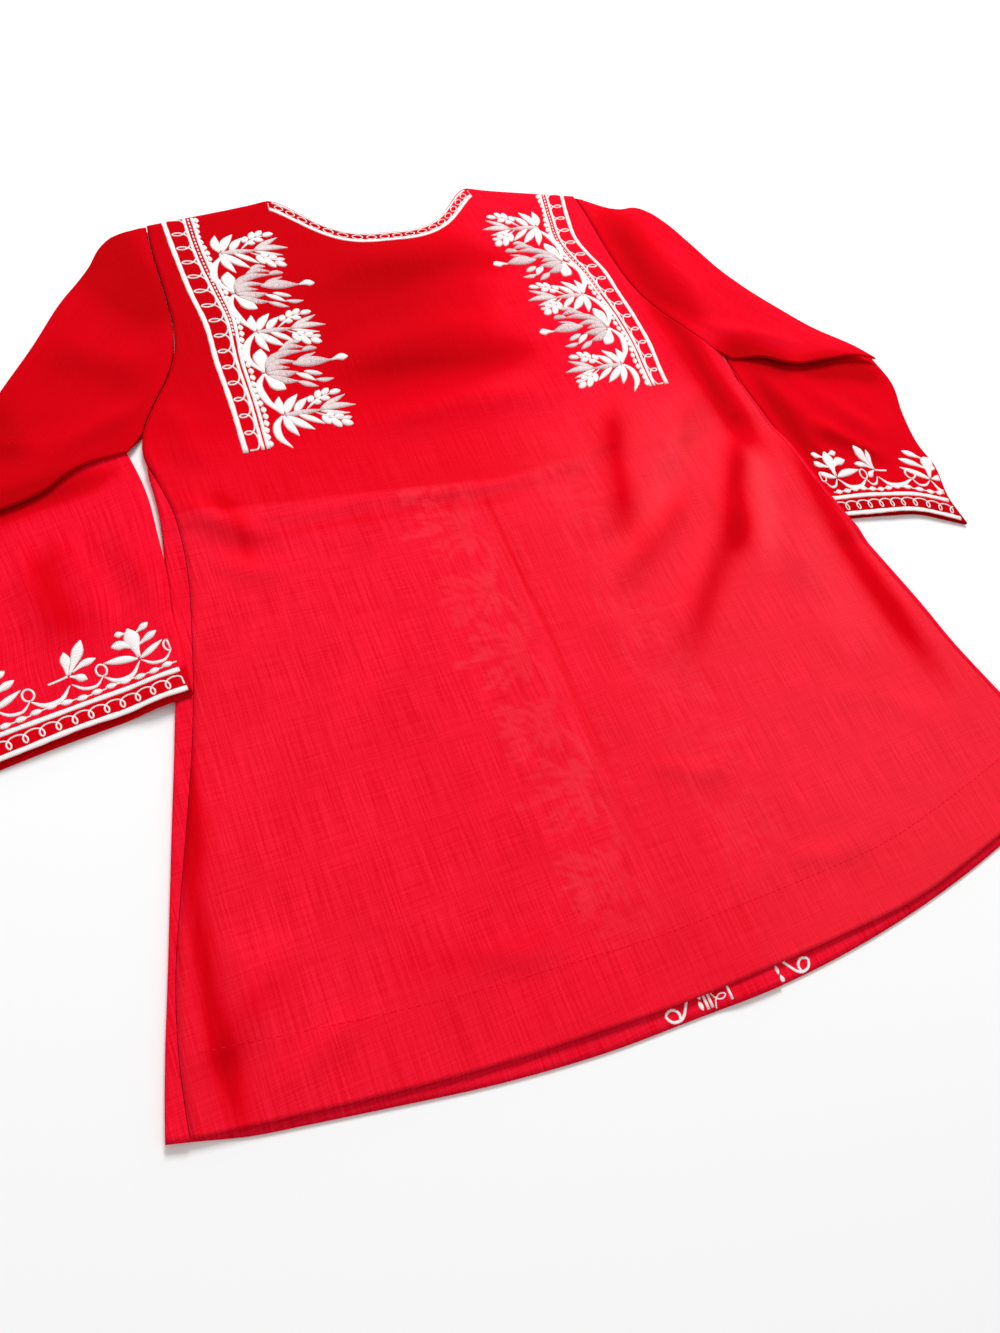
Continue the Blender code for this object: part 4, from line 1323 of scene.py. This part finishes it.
def cut_forms(shapes, lay, allowed):
    """The forms, or the parts of them, whose places are allowed."""
    kept = []
    for path, width, tone in shapes:
        inside = allowed(*lay(*path.T))
        if inside.sum() > 3:
            kept.append((path[inside], width[inside], tone[inside]))
    return kept


neck_end = neck_length[-1]
neck_at = np.linspace(1.0, neck_end - 1.0, 60)
neck_forms = [
    satin_line(np.stack([np.full(60, 1.3), neck_at], axis=1), 0.8, 0.1),
    satin_line(np.stack([NECK_BAND + 0.2 * np.sin(neck_at / 9.0), neck_at], axis=1), 1.4, 0.0),
    looped_thread(2.0, neck_end - 2.0, lambda y: 2.6, lambda y: 8.1, NECK_LOOP_PITCH, 6.2, 0.42),
]
neck_forms = cut_forms(neck_forms, on_neck, lambda x, y: y < shoulder_y(x) - 2.0)
stitched_piece("neck_band", neck_forms, on_neck, back_top)


# The cuff bands: a satin line by the edge, small loops, a second line, beads, and swags of stem
# that hang from eyelets and carry large and small palmettes by turns, on the side that shows.
CUFF_STEP = 38.7
FOLD_MARGIN = 1.2
# Each satin line: its height above the cuff's edge, how far and how fast it wanders, half its width
CUFF_LINES = ((2.1, 0.2, 8.0, 1.7), (15.3, 0.3, 11.0, 1.6))
CUFF_LOOP_PITCH = 8.7
CUFF_BEADS_UP = 20.2
CUFF_BEAD_STEP = 8.0
PALMETTES_UP = 30.8
SMALL_PALMETTES_UP = 35.8
EYELETS_UP = 32.2
EYELET_HALF_WIDTH = 2.9
EYELET_HALF_HEIGHT = 3.8
PALMETTE = (
    ("club", ((0, 1), (0, 11), (0, 21.5)), 4.6, 0),
    ("club", ((-2, 19), (-4, 19.5), (-8, 20)), 2.2, 0.1),
    ("club", ((-1, 8), (-6, 12.5), (-12, 13.2)), 3.1, 0),
    ("leaf", ((-1, 0.5), (-8, 3.2), (-14, 4.2), (-19, 5)), 2.6, 0),
    ("club", ((3, 17), (7, 18.5), (11.5, 20.5)), 2.3, 0),
    ("club", ((1.5, 8.5), (8, 11), (14, 13.2)), 2.4, 0.1),
    ("leaf", ((0, 0), (7, 2.5), (15, 6)), 2.1, 0),
)
SMALL_PALMETTE = (
    ("club", ((0, 0), (1.5, 7), (2.5, 14.5)), 2.9, 0),
    ("club", ((1, 0), (7, 8.5), (13, 18.5)), 3.3, 0),
    ("club", ((3, 1), (10, 4), (17, 5)), 2.3, 0),
    ("club", ((1, -1), (5, -3), (9, -6)), 2.5, 0),
    ("line", ((0, -0.5), (-5, -1.2), (-10.5, -1.6)), 0.7, 0),
)
SWAG_IN = ((17.6, 27.5), (23, 22.8), (31, 22.5), (38.2, 29.5))
SWAG_OUT = ((0.4, 29.8), (6, 24.5), (12, 23.8), (17.4, 28.5))
# On the right cuff the forms are stitched larger
CUFF_GROW = {"left": 1.0, "right": 1.22}
CUFF_EYELET_X = {"left": 17.4, "right": 13.0}


def cuff_forms(hand, length, first):
    """Forms round a cuff, in distance along its edge and up from it; first is a palmette's place."""
    widen = CUFF_GROW[hand]
    eyelet_x = CUFF_EYELET_X[hand]
    inward = (CUFF_STEP - eyelet_x) / (CUFF_STEP - CUFF_EYELET_X["left"])
    palmette_forms = motif(PALMETTE)
    small_palmette_forms = motif(SMALL_PALMETTE)
    inside = np.linspace(0.8, length - 0.8, 24)
    shapes = [satin_line(np.stack([inside, up + wander * np.sin(inside / wave)], axis=1), half)
              for up, wander, wave, half in CUFF_LINES]
    path, width, tone = looped_thread(1.5, length - 1.5, lambda y: 5.0, lambda y: 11.6,
                                      CUFF_LOOP_PITCH * widen, 3.0 * widen, 0.5)
    shapes.append((path[:, ::-1], width, tone))
    # Beads on one thread, which shows between them
    at = 2.0
    while at < length - CUFF_BEAD_STEP:
        up = CUFF_BEADS_UP + 0.7 * np.sin(at / 6.0)
        shapes.append(stitched("bead", ((at, up), (at + 3.2, up + 0.1), (at + 6.4, up)), 1.9))
        shapes.append(satin_line(((at + 6.0, up), (at + 8.4, up)), 0.45))
        at += CUFF_BEAD_STEP
    node = first - 4.0 * CUFF_STEP
    large = True
    while node < length + CUFF_STEP:
        if large:
            forms = moved(palmette_forms, node, PALMETTES_UP, widen)
        else:
            forms = moved(small_palmette_forms, node, SMALL_PALMETTES_UP)
        swag_in = stitched("arc", SWAG_IN, 1.7, 0.0, 12)
        swag_out = stitched("arc", SWAG_OUT, 1.1, 0.0, 10)
        forms += moved([swag_in], node + CUFF_STEP * (1.0 - inward), 0.0, inward)
        forms += moved([swag_out], node, 0.0, eyelet_x / CUFF_EYELET_X["left"])
        loop = np.linspace(-0.5 * np.pi, 1.5 * np.pi, 17)
        ring_path = np.stack([node + eyelet_x + EYELET_HALF_WIDTH * np.cos(loop),
                              EYELETS_UP + EYELET_HALF_HEIGHT * np.sin(loop)], axis=1)
        forms.append((ring_path, np.full(17, 0.6), np.full(17, 0.1)))
        shapes += cut_forms(forms, as_is, lambda x, y: (x > 0.8) & (x < length - 0.8 + 0.02 * y))
        node += CUFF_STEP
        large = not large
    return shapes


def on_cuff(hand):
    """Plan place at a distance along a cuff's edge and up the sleeve from it."""
    at = spaced(201)
    edge = outline(CUFFS[hand])(at)
    length = distance_along(*edge)
    ahead = np.array([np.gradient(edge[0], length), np.gradient(edge[1], length)])
    turn_up = -1.0 if hand == "right" else 1.0

    def lay(along, up):
        ahead_x = np.interp(along, length, ahead[0])
        ahead_y = np.interp(along, length, ahead[1])
        rise = up * turn_up * CUFF_GROW[hand]
        x = np.interp(along, length, edge[0]) - ahead_y * rise
        y = np.interp(along, length, edge[1]) + ahead_x * rise
        return x, y
    return lay, length[-1]


for hand, first in (("left", 104.8), ("right", 105.0)):
    lay, length = on_cuff(hand)
    fold_x, fold_y = np.array(ELBOW_EDGES[hand]).T
    fold_line = smooth_line(fold_y[::-1], np.abs(fold_x)[::-1])
    # The stitching stops just before the sleeve's fold
    forms = cut_forms(cuff_forms(hand, length, first), lay,
                      lambda x, y, fold_line=fold_line: np.abs(x) < fold_line(y) - FOLD_MARGIN)
    stitched_piece("cuff_band_" + hand, forms, lay,
                   lambda x, y, hand=hand: lower_sleeve_levels(hand, x, y, 1.0 + 0.0 * x)[1])


# The hem stitching: the turned-up hem of the back is held by a row of small hand stitches in red
# thread, 38 mm above its edge, that pull the cloth in a little.
HEM_STITCH = 2.6
HEM_STITCH_PITCH = 4.4

stitch_forms = []
for x in np.arange(-290.0, 296.0, HEM_STITCH_PITCH):
    ends = np.array([x, x + HEM_STITCH / 2, x + HEM_STITCH])
    path = np.stack([ends, hem("back", ends) + HEM_DEPTH], axis=1)
    stitch_forms.append((path, np.full(3, 0.28), np.full(3, 0.2)))
stitched_piece("hem_stitches", stitch_forms, as_is, back_top, rise=0.3, material=red_cotton)


# The front bands: the same kind of band, wider spaced, runs down each front from the neckline to
# the hem beside the opening. They face the floor; their backs show beyond the hem of the back.
FRONT_SPACING = 49.3
FRONT_FIRST_SPRAY = -341.5
FRONT_BAND_X = {"left": -14.0, "right": 1.0}
FRONT_REACH = 0.78
FRONT_BAND_BOTTOM = -345.0
# The backs of the stitches are thinner than their faces, most along the edge
FORM_THINNED = 0.7
EDGE_THINNED = 0.4
# Beyond this distance from its line a band has only leaves and flowers
LEAVES_FROM = 24.0
FRONT_LAST_LEAF = -300.0
# One closed curl of stem shows at the hem on each front
FRONT_CURL_X = 38.0
FRONT_CURL_RISE = 5.0
FRONT_CURL = ((20, 30), (23, 14), (28, 3), (34, -3), (40, -2), (42, 2), (38, 4), (34, 1), (35, -4), (37, -7))


def front_inner_x(y):
    """The double line of a front band, which runs nearly straight."""
    return 13.8 + 0.8 * np.sin(y / 31.0)


def front_top(panel):
    """Upper side of a front's cloth, as a function of place."""
    return lambda x, y: front_level(x, y, panel) + CLOTH / 2


def front_lay(panel):
    """Plan place on a front, from the distance outwards from its band's outer line."""
    return lambda x, y: (FRONT_BAND_X[panel] + SIGN[panel] * x, y)


front_band_forms = {}
for panel, sign in SIGN.items():
    lay = front_lay(panel)
    start = FRONT_BAND_X[panel]
    forms = strip_forms(FRONT_BAND_BOTTOM, lambda x: neck_y(start + sign * x, FRONT_NECK_Y) - 4.0,
                        FRONT_FIRST_SPRAY, FRONT_SPACING, front_inner_x, FRONT_REACH, False)
    forms = [form for form in forms
             if form[0][:, 0].max() < LEAVES_FROM or form[0][:, 1].min() > FRONT_LAST_LEAF]
    foot = hem("front", start + sign * FRONT_CURL_X) + FRONT_CURL_RISE
    forms += moved([stitched("line", FRONT_CURL, 1.2, 0.0, 36)], 0.0, foot)
    kept = cut_forms(forms, lay, lambda x, y: y > hem("front", x) + 1.0)
    kept = [(path, width * (FORM_THINNED if path[:, 0].max() > 1.0 else EDGE_THINNED), tone)
            for path, width, tone in kept]
    front_band_forms[panel] = kept
    stitched_piece("front_band_" + panel, kept, lay, front_top(panel), sink=CLOTH + FLOSS_SINK, rise=0.7)


# What shows through: the back is thin enough for the white bands under it to show as a paler
# shadow, most where it lies straight on them and hardly at all through the lined yoke.
SHOWN_LEFT = 1.0
SHOWN_RIGHT = 0.45
SHOWN_LINES = 0.35
SHOWN_SINGLE = 0.11
SHOWN_LINED_LESS = 0.09
SHOWN_SOFTNESS = 1.2


def cover_of(forms, panel):
    """How far each point of the back lies over forms of a front band, from 0 to 1."""
    cover = np.zeros(back_x.shape)
    for path, width, _ in forms:
        path_x, path_y = front_lay(panel)(*path.T)
        reach = width.max() + SHOWN_SOFTNESS
        near = (back_x > path_x.min() - reach) & (back_x < path_x.max() + reach)
        near &= (back_y > path_y.min() - reach) & (back_y < path_y.max() + reach)
        if near.any():
            away = np.hypot(back_x[near][:, None] - path_x, back_y[near][:, None] - path_y) - width
            cover[near] = np.maximum(cover[near], 1.0 - ramp(-0.4, SHOWN_SOFTNESS, away.min(axis=1)))
    return cover


def leafy(panel):
    """The forms of a front band that lie beyond its lines and beads."""
    return [form for form in front_band_forms[panel] if form[0][:, 0].max() > LEAVES_FROM]


shown_and_lit = np.zeros(back_x.shape)
for forms, panel, share in ((leafy("left"), "left", SHOWN_LEFT), (leafy("right"), "right", SHOWN_RIGHT),
                            (front_band_forms["left"], "left", SHOWN_LINES)):
    shown_and_lit = np.maximum(shown_and_lit, share * cover_of(forms, panel))
shown_and_lit = shown_and_lit * (0.72 + 0.28 * np.sin(back_y / 23.0) * np.sin(back_x / 19.0))
shown_and_lit = shown_and_lit * (SHOWN_SINGLE - SHOWN_LINED_LESS * back_lined) * ramp(-300.0, -240.0, back_y)
# Below the yoke the back is painted paler: a little for its fewer layers, and more towards the right as
# painted light
low_back = 1.0 - ramp(-10.0, 80.0, back_y - back_edge_y)
shown_and_lit = shown_and_lit + (0.02 + 0.08 * ramp(-120.0, 180.0, back_x)) * low_back
faded = np.clip(1.0 - 3.2 * (back_layers_and_shade - 0.06), 0.0, 1.0)
# Painted light on the folds that face the lamp goes on with the show-through
paint_depth_and_light(back_cloth.data, back_layers_and_shade, (shown_and_lit + fold_height(BACK_PAINTED_LIGHT, back_x, back_y)) * faded)


# The floor: a plain pale sheet, far wider than the tunic.
FLOOR_PALE = "FAFAFA"
FLOOR_HALF = 6.0
FLOOR_DROP = 0.0005

floor_material, floor_shader = new_material("pale_floor")
feed(floor_shader, {"Base Color": linear(FLOOR_PALE), "Roughness": 0.9})
floor_mesh = bpy.data.meshes.new("floor")
floor_grid = bmesh.new()
bmesh.ops.create_grid(floor_grid, x_segments=1, y_segments=1, size=FLOOR_HALF)
floor_grid.to_mesh(floor_mesh)
floor_grid.free()
floor_mesh.materials.append(floor_material)
floor = bpy.data.objects.new("floor", floor_mesh)
floor.location.z = -FLOOR_DROP
bpy.context.scene.collection.objects.link(floor)


# The light: a bright even sky and one large soft lamp beyond the neckline, so that folds shade
# towards the hem and the pleats and the hem's edge throw a soft shadow.
SKY_STRENGTH = 0.56
LAMP_POWER = 74.0
LAMP_PLACE = (0.75, 2.05, 1.9)
LAMP_SIZE = 1.0

world = bpy.data.worlds.new("soft_light")
world.use_nodes = True
feed(world.node_tree.nodes["Background"], {"Color": (1.0, 1.0, 1.0, 1.0), "Strength": SKY_STRENGTH})
bpy.context.scene.world = world
lamp_data = bpy.data.lights.new("soft_lamp", "AREA")
lamp_data.shape = "SQUARE"
lamp_data.size = LAMP_SIZE
lamp_data.energy = LAMP_POWER
lamp = bpy.data.objects.new("soft_lamp", lamp_data)
lamp.rotation_euler = Vector(LAMP_PLACE).to_track_quat("Z", "Y").to_euler()
lamp.location = LAMP_PLACE
bpy.context.scene.collection.objects.link(lamp)
